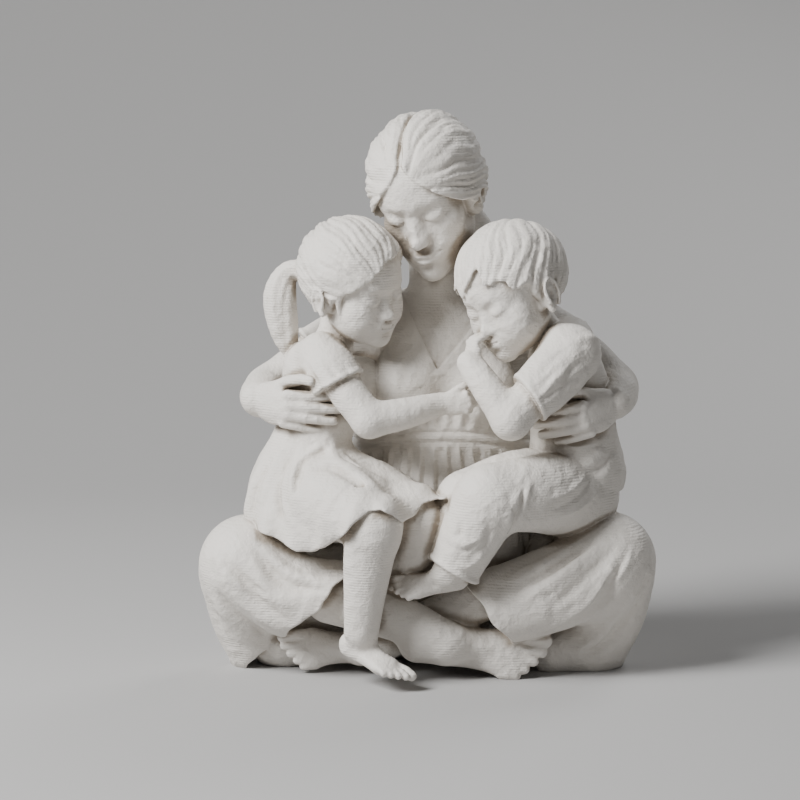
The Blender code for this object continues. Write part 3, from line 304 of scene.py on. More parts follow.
class Rods:
    """Rods end to end with a radius at each joint, such as a limb or the run of a fold."""

    def __init__(self, line, flat=None):
        self.a, self.d = line[:-1, :3], np.diff(line[:, :3], axis=0)
        self.r, self.dr = line[:-1, 3], np.diff(line[:, 3])
        self.dd = (self.d ** 2).sum(1) + 1e-9
        self.flat = flat
        widest = np.maximum(line[:-1, 3], line[1:, 3])[:, None]
        self.low = np.minimum(line[:-1, :3], line[1:, :3]) - widest
        self.high = np.maximum(line[:-1, :3], line[1:, :3]) + widest
        lengths = np.sqrt(self.dd)
        self.along = np.concatenate([[0], np.cumsum(lengths)]) / lengths.sum()

    def distance(self, P, low, high, pad, centre_line=False):
        """Distance to the skin, or with centre_line the distance to the middle and how far along it is."""
        best, where = None, None
        near = ((self.low - pad < high) & (self.high + pad > low)).all(1)
        for i in np.nonzero(near)[0]:
            a, d = self.a[i], self.d[i]
            x, y, z = P[0] - a[0], P[1] - a[1], P[2] - a[2]
            t = np.clip((x * d[0] + y * d[1] + z * d[2]) / self.dd[i], 0, 1)
            x -= t * d[0]
            y -= t * d[1]
            z -= t * d[2]
            square = x * x + y * y + z * z
            if self.flat is not None:
                n, share = self.flat
                q = x * n[0] + y * n[1] + z * n[2]
                square += (share * share - 1) * q * q
            reach = np.sqrt(square)
            if centre_line:
                t = lerp(self.along[i], self.along[i + 1], t)
                closer = True if best is None else reach < best
                where = t if best is None else np.where(closer, t, where)
                best = reach if best is None else np.where(closer, reach, best)
            else:
                reach -= self.r[i] + t * self.dr[i]
                best = reach if best is None else np.minimum(best, reach)
        return (best, where) if centre_line else best


class Form:
    """One solid or mark of a part: how far it is, the box it lies in, and how it joins what is there."""

    def __init__(self, distance, low, high, blend, kind="add", line=None, reach=0.0):
        self.distance, self.blend, self.kind, self.line, self.reach = distance, blend, kind, line, reach
        self.fit(low, high)

    def fit(self, low, high):
        pad = self.blend + BOX_PAD
        self.low, self.high = np.array(low, float) - pad, np.array(high, float) + pad


class Part:
    """A part of the sculpture, such as a dress or a head, built up and cut back like clay."""

    def __init__(self, name, blend):
        self.name, self.blend, self.forms = name, blend, []
        self.place()

    def place(self, origin=(0, 0, 0), turn=None, size=1.0):
        """What follows is given in axes and in a unit of its own, such as head lengths."""
        self.origin = np.array(origin, float)
        self.turn = np.eye(3, dtype=np.float32) if turn is None else turn
        self.size = size

    def at(self, place):
        """A place of this part in the axes and millimetres of the whole."""
        return self.origin + self.size * (np.array(place, float) @ self.turn)

    def ball(self, centre, radius, blend=3.0, kind="add", both=False):
        """A ball, or a mirrored pair of them."""
        self.egg(centre, (radius, radius, radius), blend, kind, both)

    def egg(self, centre, radii, blend=3.0, kind="add", both=False):
        """An egg, or a mirrored pair of them."""
        for side in (1, -1) if both else (1,):
            c = self.at((centre[0] * side, centre[1], centre[2]))
            r = [v * self.size for v in radii]
            half = np.sqrt(((self.turn * np.array(r)[:, None]) ** 2).sum(0))

            def distance(P, low, high, c=c, r=r, turn=self.turn):
                return egg_distance(P, c, r, turn)
            self.forms.append(Form(distance, c - half, c + half, blend * self.size, kind))

    def rods(self, points, steps, flat=None):
        """Rods through places (x, y, z, radius) of this part."""
        line = [(*self.at(p[:3]), p[3] * self.size) for p in points]
        if flat is not None:
            flat = (unit(np.array(flat[:3], float) @ self.turn), flat[3])
        return Rods(curve(line, steps), flat)

    def limb(self, points, blend=3.0, steps=4, flat=None, kind="add", both=False):
        """A limb through places (x, y, z, radius); flat is a direction and how much thinner it is there."""
        for side in (1, -1) if both else (1,):
            rods = self.rods([(p[0] * side, *p[1:]) for p in points], steps, flat)
            pad = blend * self.size + BOX_PAD

            def distance(P, low, high, rods=rods, pad=pad):
                return rods.distance(P, low, high, pad)
            self.forms.append(Form(distance, rods.low.min(0), rods.high.max(0), blend * self.size, kind))

    def sleeve(self, points, edge, toward, blend=2.0, lip=CLOTH_LIP, steps=4):
        """A limb of cloth that ends in a hem at a place, square to a direction."""
        rods = self.rods(points, steps)
        n = unit(toward)
        end = float(np.dot(n, edge))

        def distance(P, low, high):
            d = rods.distance(P, low, high, blend + BOX_PAD + 2)
            if d is None:
                return None
            past = n[0] * P[0] + n[1] * P[1] + n[2] * P[2] - end
            return smooth_max(d - lip * bell(past + 1.2, 1.1), past, 1.0)
        self.forms.append(Form(distance, rods.low.min(0) - lip, rods.high.max(0) + lip, blend))

    def own(self, field, centre, reach, blend=0.0):
        """Add a solid given by a function in this part's own axes and unit."""
        origin, turn, size, c = self.origin, self.turn, self.size, self.at(centre)

        def distance(P, low, high):
            x, y, z = ((P[i] - origin[i]) / size for i in range(3))
            return size * field(*(row[0] * x + row[1] * y + row[2] * z for row in turn))
        self.forms.append(Form(distance, c - reach * size, c + reach * size, blend * size))

    def whole(self, field, blend=0.0, kind="raise"):
        """A function of the place that holds for the whole part: a cut along a hem, or a raised pattern."""
        def distance(P, low, high):
            return field(*P)
        self.forms.append(Form(distance, [-1e3] * 3, [1e3] * 3, blend, kind))

    def fold(self, points, width, height, steps=5):
        """A ridge along a line on the surface, or a groove if the height is under 0."""
        line = curve([(*self.at(p[:3]), 0.0) for p in points], steps)
        width, height = width * self.size, height * self.size
        form = Form(None, line[:, :3].min(0), line[:, :3].max(0), 0.0, "raise", line, 2.2 * width)

        def distance(P, low, high):
            d, t = form.rods.distance(P, low, high, form.reach + 1.0, True)
            if d is None:
                return np.float32(0)
            return height * bell(d, width) * np.minimum(1, 4.5 * t * (1 - t) + 0.05)
        form.distance = distance
        self.forms.append(form)

    def folds(self, lines, width, height):
        """Several ridges or grooves of one size."""
        for line in lines:
            self.fold(line, width, height)

    def fan(self, first, last, count, width, height):
        """Folds from one line to another, a little uneven as real cloth is."""
        for i in range(count):
            t = i / max(count - 1, 1)
            a, b = lerp(*np.array(first, float), t), lerp(*np.array(last, float), t)
            strong = 1.0 + 0.25 * math.sin(3.7 * i + 1.1)
            self.fold([a, (a + b) / 2, b], width * strong, height * strong)

    def solid(self, P):
        """Distance to this part before its folds."""
        d = np.full(P.shape[1], FAR)
        low, high = P.min(1), P.max(1)
        for form in self.forms:
            if form.kind != "raise":
                d = join(d, form, form.distance(P, low, high))
        return d

    def settle(self):
        """Lay every fold on the surface of the part."""
        marks = [form for form in self.forms if form.line is not None]
        if not marks:
            return
        P = np.concatenate([form.line[:, :3] for form in marks]).T.copy()
        for _ in range(6):
            d = self.solid(P)
            slope = np.stack([self.solid(P + step[:, None]) - d for step in np.eye(3) * 0.3]) / 0.3
            P -= 0.8 * np.clip(d, -6, 6) * slope / np.maximum((slope ** 2).sum(0), 0.2)
        first = 0
        for form in marks:
            count = len(form.line)
            form.line[:, :3] = P[:, first:first + count].T
            form.rods = Rods(form.line)
            form.fit(form.line[:, :3].min(0) - form.reach, form.line[:, :3].max(0) + form.reach)
            first += count


def join(total, form, d):
    """The total with one more form of a part in it."""
    if d is None:
        return total
    if form.kind == "add":
        return smooth_min(total, d, form.blend)
    if form.kind == "cut":
        return smooth_max(total, -d, form.blend)
    if form.kind == "keep":
        return smooth_max(total, d, form.blend)
    return total - d


class Clay:
    """All the parts together, ready to be measured anywhere."""

    def __init__(self, parts):
        self.rows = []
        for part in parts:
            part.settle()
            self.rows += [(part, form) for form in part.forms]
        self.low = np.array([form.low for _, form in self.rows])
        self.high = np.array([form.high for _, form in self.rows])

    def distance(self, P, low=None, high=None):
        if low is None:
            low, high = P.min(1), P.max(1)
        total = np.full(P.shape[1], FAR, np.float32)
        part, mine = None, None
        for i in np.nonzero(((self.low < high) & (self.high > low)).all(1))[0]:
            owner, form = self.rows[i]
            if owner is not part:
                if part is not None:
                    total = smooth_min(total, mine, part.blend)
                part, mine = owner, np.full(P.shape[1], FAR, np.float32)
            mine = join(mine, form, form.distance(P, low, high))
        return total if part is None else smooth_min(total, mine, part.blend)


def measure(clay, low, high, cell):
    """Distances on a grid over a box, worked out in full only near the surface, cut off flat at the floor."""
    low, high = np.array(low, float), np.array(high, float)
    side = cell * BLOCK
    n = np.ceil((high - low) / side).astype(int) + 1
    rough = np.full(n, FAR, np.float32)
    for start in np.ndindex(*(-(-n // BATCH))):
        part = tuple(slice(s * BATCH, min(s * BATCH + BATCH, m)) for s, m in zip(start, n))
        line = [low[q] + (np.arange(part[q].start, part[q].stop) + 0.5) * side - 0.5 * cell for q in range(3)]
        P = np.stack(np.meshgrid(*line, indexing="ij")).astype(np.float32)
        flat = P.reshape(3, -1)
        d = clay.distance(flat, flat.min(1) - side, flat.max(1) + side)
        rough[part] = np.maximum(d, -flat[2]).reshape(P.shape[1:])
    near = np.abs(rough) < side + NEAR
    grid = np.clip(rough, -side, side).repeat(BLOCK, 0).repeat(BLOCK, 1).repeat(BLOCK, 2)
    lines = [(low[q] + np.arange(n[q] * BLOCK) * cell).astype(np.float32) for q in range(3)]
    inner = np.stack(np.meshgrid(*[np.arange(BLOCK)] * 3, indexing="ij")).reshape(3, -1)
    group = max(1, int(round(JOB_SIZE / side)))
    for start in np.ndindex(*(-(-n // group))):
        first = np.array(start) * group
        blocks = np.argwhere(near[tuple(slice(f, f + group) for f in first)]) + first
        if len(blocks) == 0:
            continue
        i, j, k = (blocks[:, :, None] * BLOCK + inner[None]).transpose(1, 0, 2).reshape(3, -1)
        P = np.stack([lines[0][i], lines[1][j], lines[2][k]])
        grid[i, j, k] = np.maximum(clay.distance(P), -P[2])
    return grid


def skin_of(grid, low, cell):
    """Places and four-cornered faces of the surface in a grid of distances."""
    volume = openvdb.FloatGrid(background=3 * cell)
    volume.copyFromArray(np.clip(grid, -3 * cell, 3 * cell))
    points, quads = volume.convertToQuads(isovalue=0.0)
    return points.astype(float) * cell + np.array(low), quads


def face(part, young):
    """The skin of a head in head lengths: eyes at z 0, ears at y 0, y forward.

    young is 0 for a grown head and 1 for a small child's.
    """
    k = lerp(0.98, 0.80, young)
    skull = lerp(0.13, 0.155, young)
    part.egg((0, -0.06, skull), (lerp(0.325, 0.345, young), lerp(0.42, 0.40, young), 0.363), 0.05)
    part.egg((0, 0.10, 0.13), (lerp(0.275, 0.30, young), 0.275, 0.27), 0.1)
    part.egg((0, 0.11, -0.14 * k), (lerp(0.255, 0.272, young), 0.25, 0.34 * k), 0.08)
    # cheeks, jaw and chin
    part.egg((0.172, 0.212, -0.10 * k), (0.105, 0.105, 0.085), 0.08, both=True)
    cheek = lerp(0.134, 0.152, young)
    part.ball((cheek, lerp(0.212, 0.205, young), -0.225 * k), lerp(0.112, 0.138, young), 0.08, both=True)
    jaw = [(0.205, 0.01, -0.26 * k, 0.072), (0.155, 0.15, -0.37 * k, 0.074),
           (0.045, 0.280, -0.435 * k, 0.064)]
    part.limb(jaw, 0.08, both=True)
    part.ball((0, lerp(0.325, 0.300, young), -0.435 * k), 0.065, 0.06)
    part.egg((0, 0.285, -0.30 * k), (0.145, 0.110, 0.10), 0.06)
    # brow and sockets
    brow = lerp(0.030, 0.022, young)
    part.limb([(0.035, 0.335, 0.082, brow), (0.11, 0.322, 0.100, brow), (0.20, 0.262, 0.080, brow)],
              0.07, both=True)
    part.egg((0.125, 0.425, 0.0), (0.095, 0.085, 0.050), 0.07, "cut", both=True)
    part.own(lambda x, y, z: closed_eyes(x, y, z, young), (0, 0.278, -0.008), 0.25, 0.022)
    # nose
    tip = lerp(0.430, 0.402, young)
    bridge = lerp(0.336, 0.312, young)
    low = -0.170 * k
    part.limb([(0, bridge, 0.060, 0.026), (0, bridge + 0.030, -0.03, 0.025),
               (0, tip - 0.012, low + 0.022, 0.031)],
              0.05)
    part.ball((0, tip, low), 0.036, 0.035)
    part.egg((0.043, tip - 0.040, low - 0.007), (0.024, 0.034, 0.024), 0.040, both=True)
    part.limb([(0.020, bridge + 0.016, -0.02, 0.022), (0.038, tip - 0.066, low + 0.034, 0.034)], 0.04,
              both=True)
    part.egg((0.022, tip - 0.022, low - 0.040), (0.010, 0.015, 0.009), 0.012, "cut", both=True)
    mouth(part, -0.300 * k, lerp(0.396, 0.374, young), lerp(0.90, 0.82, young))


def closed_eyes(x, y, z, young):
    """Eyeballs under closed lids, with the line of the lashes and the crease over it."""
    ax = np.abs(x)
    eye_x, eye_y, radius = 0.132, lerp(0.268, 0.256, young), lerp(0.086, 0.098, young)
    ball = ball_distance((ax, y, z), (eye_x, eye_y, -0.008), radius)
    edge = -0.012 - 0.030 * np.clip(1 - ((ax - eye_x) / 0.070) ** 2, -1, 1)
    lid = smoothstep(-0.003, 0.003, z - edge)
    lash = 1.4 * bell(z - edge + 0.004, 0.007) * smoothstep(0.085, 0.06, np.abs(ax - eye_x))
    crease = bell(z - edge - 0.062 + 0.25 * (ax - eye_x) ** 2, 0.008)
    return ball - 0.008 * lid + 0.006 * lash + 0.004 * crease


def mouth(part, z, y, wide):
    """Two closed lips and the line between them, its corners a little raised."""
    upper = [(0, y, z + 0.021, 0.015), (0.024 * wide, y + 0.002, z + 0.022, 0.018),
             (0.070 * wide, y - 0.016, z + 0.018, 0.014), (0.122 * wide, y - 0.064, z + 0.032, 0.009)]
    lower = [(0, y - 0.003, z - 0.024, 0.024), (0.048 * wide, y - 0.014, z - 0.019, 0.020),
             (0.102 * wide, y - 0.050, z + 0.010, 0.011)]
    line = [(0, y + 0.023, z, 0.006), (0.065 * wide, y + 0.008, z + 0.004, 0.0065),
            (0.135 * wide, y - 0.052, z + 0.032, 0.005)]
    part.limb(upper, 0.016, both=True)
    part.limb(lower, 0.016, both=True)
    part.limb(line, 0.012, kind="cut", both=True)
    part.limb([(0, y + 0.028, z + 0.075, 0.007), (0, y + 0.030, z + 0.045, 0.009)], 0.02, kind="cut")
    part.egg((0, y + 0.020, z - 0.068), (0.05, 0.03, 0.018), 0.04, "cut")


def ears(part, size, out):
    """A pair of ears in head lengths: a flat shell with a rolled rim, a bowl and a lobe."""
    cx, cy, cz = 0.345 + out, -0.03, -0.045
    part.limb([(0.25, 0.0, 0.0, 0.06), (cx - 0.015, -0.015, 0.0, 0.045)], 0.03, both=True)
    part.limb([(0.24, 0.02, -0.10, 0.05), (cx - 0.015, -0.005, -0.12, 0.028)], 0.03, both=True)
    part.egg((cx - 0.01, cy, cz), (0.034 * size, 0.06 * size, 0.10 * size), 0.03, both=True)
    part.ball((cx - 0.002, cy + 0.030 * size, cz - 0.105 * size), 0.026 * size, 0.03, both=True)
    rim = []
    for degrees in range(-60, 216, 45):
        t = math.radians(degrees)
        rim.append((cx + (0.022 + 0.014 * math.sin(t * 0.5)) * size, cy - 0.064 * size * math.cos(t),
                    cz + 0.105 * size * math.sin(t), 0.014 * size))
    part.limb(rim, 0.008, 3, both=True)
    part.egg((cx + 0.036 * size, cy + 0.012 * size, cz - 0.008),
             (0.030 * size, 0.030 * size, 0.050 * size), 0.012, "cut", both=True)
    part.limb([(cx + 0.014 * size, cy + 0.05 * size, cz - 0.02 * size, 0.011 * size),
               (cx + 0.014 * size, cy + 0.045 * size, cz - 0.055 * size, 0.013 * size)], 0.012, both=True)


def strands(x, y, z, pole, locks, seed):
    """0 to 1: locks and finer strands that run away from a pole, as hair runs from its tie or its crown."""
    p = unit(pole)
    a = unit(np.cross(p, (0.31, 0.2, 0.93) if abs(p[2]) < 0.9 else (1, 0, 0)))
    b = np.cross(p, a)
    u = x * a[0] + y * a[1] + z * a[2]
    v = x * b[0] + y * b[1] + z * b[2]
    turn = np.arctan2(v, u)
    away = np.arctan2(np.sqrt(u * u + v * v), x * p[0] + y * p[1] + z * p[2])
    sway = turn + 0.13 * np.sin(2 * turn + seed) + 0.06 * np.sin(5 * turn + 2.3 * seed)
    sway = sway + 0.06 * np.sin(3.1 * away + 2 * turn + seed)
    sway = sway + 0.025 * np.sin(7.3 * away + 5 * turn + 2 * seed)
    lock = np.abs(np.sin(0.5 * locks * sway))
    tuft = np.abs(np.sin(1.5 * locks * sway + 1.1 * np.sin(2.6 * away + seed)))
    strand = np.abs(np.sin(3.5 * locks * sway + 1.6 * np.sin(4.0 * away + 3 * turn)))
    end = np.minimum(away, math.pi - away)
    lock = 0.50 * lock ** 0.6 * smoothstep(0.12, 0.5, end)
    tuft = 0.32 * tuft ** 0.8 * smoothstep(0.35, 0.9, end)
    return lock + tuft + 0.18 * strand * smoothstep(0.7, 1.3, end)


def mother_hair(x, y, z):
    """Hair parted in the middle, swept over the ears to a low tie."""
    ax = np.abs(x)
    cap = egg_distance((x, y, z), (0, -0.075, 0.13), (0.395, 0.470, 0.412))
    cap = smooth_min(cap, egg_distance((ax, y, z), (0.21, -0.07, 0.01), (0.175, 0.26, 0.21)), 0.08)
    cap = smooth_min(cap, egg_distance((x, y, z), (0, -0.33, -0.20), (0.22, 0.2, 0.2)), 0.1)
    parting = bell(x, 0.016) * smoothstep(0.15, 0.25, z) * smoothstep(-0.4, -0.2, y)
    cap = cap - HAIR_DEPTH * (strands(ax, y, z, (0.0, -0.85, -0.45), 15, 0.4) - 0.4) + 0.035 * parting
    hairline = 0.325 + 0.06 * bell(ax, 0.05) - 0.55 * ax - 1.2 * ax * ax
    side = 0.12 - 0.5 * np.clip(-z, 0, 1) + 0.5 * np.clip(z, 0, 1)
    back = smooth_max(z - hairline, side - y, 0.06)
    cap = smooth_max(cap - 0.020 * bell(back - 0.03, 0.04), -back, 0.014)
    return smooth_max(cap, -egg_distance((ax, y, z), (0.43, 0.02, -0.13), (0.11, 0.075, 0.10)), 0.03)


def girl_hair(x, y, z):
    """Hair brushed back to a high tie behind the right ear."""
    ax = np.abs(x)
    cap = egg_distance((x, y, z), (0, -0.065, 0.15), (0.395, 0.450, 0.412))
    cap = cap - HAIR_DEPTH * (strands(x + 0.06, y, z - 0.06, (-0.22, -0.92, 0.25), 17, 1.3) - 0.4)
    ragged = 0.030 * np.abs(np.sin(13 * x + 4 * z))
    hairline = 0.290 + ragged - 0.42 * x - 1.3 * ax * ax
    side = 0.115 - 0.6 * np.clip(-z, 0, 1) + 0.35 * np.clip(z, 0, 1)
    back = smooth_max(z - hairline, side - y, 0.06)
    cap = smooth_max(cap - 0.014 * bell(back - 0.03, 0.04), -back, 0.014)
    cap = smooth_max(cap, -egg_distance((ax, y, z), (0.44, 0.0, -0.07), (0.11, 0.075, 0.11)), 0.03)
    return smooth_max(cap, -egg_distance((x, y, z), (0, -0.16, -0.44), (0.5, 0.40, 0.28)), 0.05)


def boy_hair(x, y, z):
    """Short hair combed forward from the crown to a ragged fringe."""
    ax = np.abs(x)
    cap = egg_distance((x, y, z), (0, -0.065, 0.155), (0.392, 0.450, 0.41))
    cap = cap - HAIR_DEPTH * (strands(x - 0.03, y + 0.1, z, (0.05, -0.55, 0.85), 13, 2.2) - 0.4)
    ragged = 0.070 * np.abs(np.sin(14 * (x + 0.5 * z) + 0.6)) + 0.012 * np.sin(41 * x)
    hairline = 0.165 + ragged + 0.10 * bell(x + 0.10, 0.09) - 0.6 * x * x
    side = 0.10 - 0.7 * np.clip(-z, 0, 1) + 0.15 * np.clip(z, 0, 1)
    back = smooth_max(z - hairline, side - y, 0.04)
    cap = smooth_max(cap - 0.014 * bell(back - 0.03, 0.04), -back, 0.012)
    cap = smooth_max(cap, -egg_distance((ax, y, z), (0.45, 0.0, -0.07), (0.12, 0.080, 0.115)), 0.03)
    return smooth_max(cap, -egg_distance((x, y, z), (0, -0.16, -0.44), (0.6, 0.5, 0.32)), 0.05)


def tail(part, points, grooves):
    """A tied tail of hair: a limb with grooves that run down it and turn a little."""
    part.limb(points, 2)
    line = curve(points, 4)
    for i in range(grooves):
        turn = 2 * math.pi * i / grooves
        run = []
        for p, q in zip(line[1:-1], line[2:]):
            d = unit(q[:3] - p[:3])
            side = unit(np.cross(d, (0, 1, 0.1)))
            out = math.cos(turn) * side + math.sin(turn) * np.cross(d, side)
            run.append(p[:3] + p[3] * out)
            turn += 0.05 * math.sin(1.7 * i)
        part.fold(run, 0.9 + 0.3 * (i % 3), -1.0 - 0.35 * (i % 2), 1)


def hand(part, side, curl=0.35, spread=0.12, knuckle=0.0, thick=1.0, thumb=True):
    """A hand in hand lengths: wrist at 0, fingers along y, back along z; side is 1 for right, -1 for left."""
    part.egg((0.0, 0.24, 0.0), (0.19, 0.28, 0.085), 0.03)
    part.limb([(0, -0.05, 0, 0.105), (0, 0.1, 0, 0.11)], 0.08, flat=(0, 0, 1, 1.25))
    part.limb([(-0.11 * side, 0.12, -0.03, 0.075), (-0.15 * side, 0.26, -0.05, 0.06)], 0.06)
    for i, length in enumerate((0.42, 0.47, 0.44, 0.34)):
        u = (i - 1.5) / 1.5
        at = np.array([u * 0.135 * side, 0.47 - 0.035 * u * u - 0.02 * (i == 3), 0.0])
        bend = knuckle + curl * 0.5
        r = (0.057 - 0.005 * (i == 3)) * thick
        joints = [(*at, r)]
        for share, grow in ((0.42, 1.0), (0.32, 1.0), (0.26, 0.6)):
            bend += curl * grow * 0.6
            at = at + length * share * np.array([u * spread * 1.6 * side, math.cos(bend), -math.sin(bend)])
            r *= 0.93
            joints.append((*at, r))
        part.limb(joints, 0.022, 1)
    if thumb:
        part.limb([(-0.12 * side, 0.16, -0.04, 0.075 * thick), (-0.25 * side, 0.36, -0.06, 0.060 * thick),
                   (-0.31 * side, 0.53, -0.08, 0.052 * thick), (-0.32 * side, 0.65, -0.09, 0.046 * thick)],
                  0.03, 1)


def foot(part, side, leg=(0, -0.02, 0.12)):
    """A foot in foot lengths: ankle at 0, toes along y, sole at z -0.25; side is 1 for right, -1 for left."""
    part.ball((0, -0.13, -0.12), 0.125, 0.03)
    part.limb([(*leg, 0.132), (0, 0.0, -0.06, 0.132)], 0.08)
    part.limb([(-0.01 * side, 0.0, -0.06, 0.12), (-0.02 * side, 0.42, -0.17, 0.075)], 0.1)
    part.egg((0.0, 0.43, -0.178), (0.175, 0.15, 0.068), 0.08)
    part.egg((0.01, 0.50, -0.190), (0.155, 0.09, 0.045), 0.04)
    part.limb([(0.05 * side, -0.1, -0.17, 0.075), (0.1 * side, 0.38, -0.19, 0.06)], 0.08)
    part.limb([(-0.04 * side, -0.1, -0.17, 0.07), (-0.09 * side, 0.42, -0.18, 0.07)], 0.08)
    part.ball((-0.085 * side, -0.01, -0.02), 0.055, 0.06)
    toes = ((-0.122, 0.18, 0.060), (-0.036, 0.17, 0.044), (0.036, 0.155, 0.042), (0.101, 0.135, 0.041),
            (0.157, 0.11, 0.040))
    for x, length, r in toes:
        root = 0.51 - 0.6 * max(0.0, x + 0.03)
        part.limb([(x * side, root, -0.175, r * 0.95), (x * side, root + length * 0.55, -0.168, r * 0.90),
                   (x * side, root + length, -0.192, r)], 0.014, 1)


def hemmed(past):
    """A cut along a hem, with the cloth a little thicker at its edge; past is over 0 beyond the edge."""
    return past - CLOTH_LIP * bell(past + 1.4, 1.2)


# Places of the mother, in millimetres from under the middle of the group, +x to its left, -y to the front
MOTHER = {
    "seat": (8, 32, 36), "hips": (8, 28, 55), "waist": (8, 15, 92), "chest": (8, 15, 120),
    "collar": (8, 13, 141), "neck": (5, 6, 175), "skull": (3, 5, 200), "head": (0.6, -6, 212.6),
    "right shoulder": (-33, 19, 147), "right elbow": (-70.5, 8, 123),
    "left shoulder": (50, 18, 150), "left elbow": (84.5, 6, 124.3),
    "right knee": (-79, -24, 50), "left knee": (80, -24, 51),
    "right ankle": (9, -42, 16.2), "left ankle": (-28.5, -28, 12.3)}


def joint(figure, name, radius):
    """The place of a joint with the radius of the limb there."""
    return (*figure[name], radius)


def mother_trunk(part, cloth):
    """The body from hips to shoulders, as skin or, a little larger, as the blouse over it."""
    m = MOTHER
    part.limb([joint(m, "hips", 40 + cloth), joint(m, "waist", 40 + cloth), joint(m, "chest", 36 + cloth),
               joint(m, "collar", 30 + cloth)], 8, flat=(0, 1, 0, 1.4))
    for side in (-1, 1):
        part.egg((8 + 17 * side, -8, 126), (16 + cloth, 13 + cloth, 15 + cloth), 7)
    part.egg((5, -4, 143), (21 + cloth, 12 + cloth, 18 + cloth), 10)
    part.limb([joint(m, "right shoulder", 12 + cloth), (8, 16, 152, 15 + cloth),
               joint(m, "left shoulder", 12 + cloth)], 10)


def mother_skin():
    """The trunk, neck and arms of the mother."""
    m = MOTHER
    part = Part("mother's skin", 1.0)
    mother_trunk(part, 0.0)
    part.limb([(7, 9, 150, 15), joint(m, "neck", 12.5), joint(m, "skull", 12.5)], 7)
    part.limb([joint(m, "right shoulder", 12.5), (-54, 15, 135, 11.5), joint(m, "right elbow", 11)], 6)
    part.limb([joint(m, "right elbow", 11), (-73.3, -8, 122.8, 10), (-74.5, -20, 123, 8)], 4)
    part.limb([joint(m, "left shoulder", 12.5), (72, 13, 137, 11.5), joint(m, "left elbow", 11)], 6)
    part.limb([joint(m, "left elbow", 11), (85, -10, 123.6, 10), (83, -29, 122, 7.4)], 4)
    return part


def gathered(x, y, z):
    """A high waistband between two grooves, with gathers that fall from it and puff over it."""
    side, turn = x - MOTHER["waist"][0], np.arctan2(x - MOTHER["waist"][0], 24 - y)
    level = z + 0.004 * side * side
    band = -1.0 * bell(level - WAIST_TOP, 0.8) - 1.2 * bell(level - WAIST_FOOT, 0.9)
    fall = smoothstep(WAIST_FOOT, WAIST_FOOT - 5, level) * smoothstep(50, 62, z)
    puff = smoothstep(WAIST_TOP, WAIST_TOP + 4, level) * smoothstep(124, 114, z)
    gathers = np.sin(GATHERS * turn + 1.5 * np.sin(5 * turn) + 0.05 * (WAIST_FOOT - z))
    gathers = gathers + 0.4 * np.sin(2.3 * GATHERS * turn + 0.12 * z)
    return band + 1.1 * gathers * fall + 0.6 * np.sin(1.1 * GATHERS * turn) * puff


def neckline(x, y, z):
    """The opening of the blouse, a V with a turned edge."""
    side, up = x - 5.0, z - 134.0
    inside = np.minimum(np.minimum(up + 2.05 * side, up - 1.15 * side) * 0.45, 10 - y)
    return inside - CLOTH_LIP * bell(inside, 1.3) * (up > -3)


def mother_blouse():
    """The blouse: neckline, gathered waist, short sleeves and folds."""
    m = MOTHER
    part = Part("mother's blouse", 0.3)
    part.egg(m["seat"], (46, 33, 38), 8)
    mother_trunk(part, CLOTH)
    part.whole(neckline, 0.8, "keep")
    part.limb([(8, 16, 94, 41.4), (8, 11, 78, 42), (8, 0, 56, 42)], 2, flat=(0, 1, 0, 1.45))
    part.whole(gathered)
    part.sleeve([(-32, 19, 148, 14.5), (-52, 15.5, 137, 13.6), (-66, 10, 127, 13)],
                (-50, 15, 138), (-0.8, -0.15, -0.55), 3)
    part.sleeve([(48, 18, 151, 14.5), (68, 14, 140, 13.4), (84, 6, 126, 13)],
                (66, 14, 141), (0.8, -0.2, -0.5), 3)
    part.fan(((52, 6, 158), (46, 4, 148)), ((38, -6, 138), (34, -6, 130)), 3, 1.8, 1.0)
    part.folds([[(20, -12, 145), (23, -18, 134), (22, -16, 121)],
                [(-9, -12, 143), (-12, -16, 130), (-11, -14, 118)],
                [(-3, -18, 123), (6, -16, 117), (16, -18, 121)]], 2.2, 0.9)
    part.fan(((-24, 40, 146), (36, 40, 148)), ((-6, 44, 112), (22, 44, 112)), 5, 2.4, 1.0)
    part.fan(((-28, 30, 98), (44, 30, 98)), ((-20, 38, 112), (34, 38, 112)), 8, 1.6, 0.8)
    return part


def mother_seat():
    """The seat and thighs of the wide trousers."""
    m = MOTHER
    part = Part("mother's trousers", 1.2)
    part.limb([(-14, 32, 27, 28), (-48, 6, 41, 25), joint(m, "right knee", 20)], 10)
    part.limb([(-18, 27, 14, 25), (-64, -3, 16, 19)], 9)
    part.limb([(28, 32, 27, 28), (58, 6, 42, 25), joint(m, "left knee", 20.5)], 10)
    part.limb([(32, 27, 14, 25), (72, -3, 16, 20)], 9)
    part.egg((8, 8, 18), (44, 34, 18), 8)
    for side in (-1, 1):
        part.fan(((8 + 44 * side, 40, 50), (8 + 34 * side, 46, 30)),
                 ((8 + 74 * side, 4, 62), (8 + 66 * side, 14, 24)),
                 4, 3.0, 1.2)
    return part


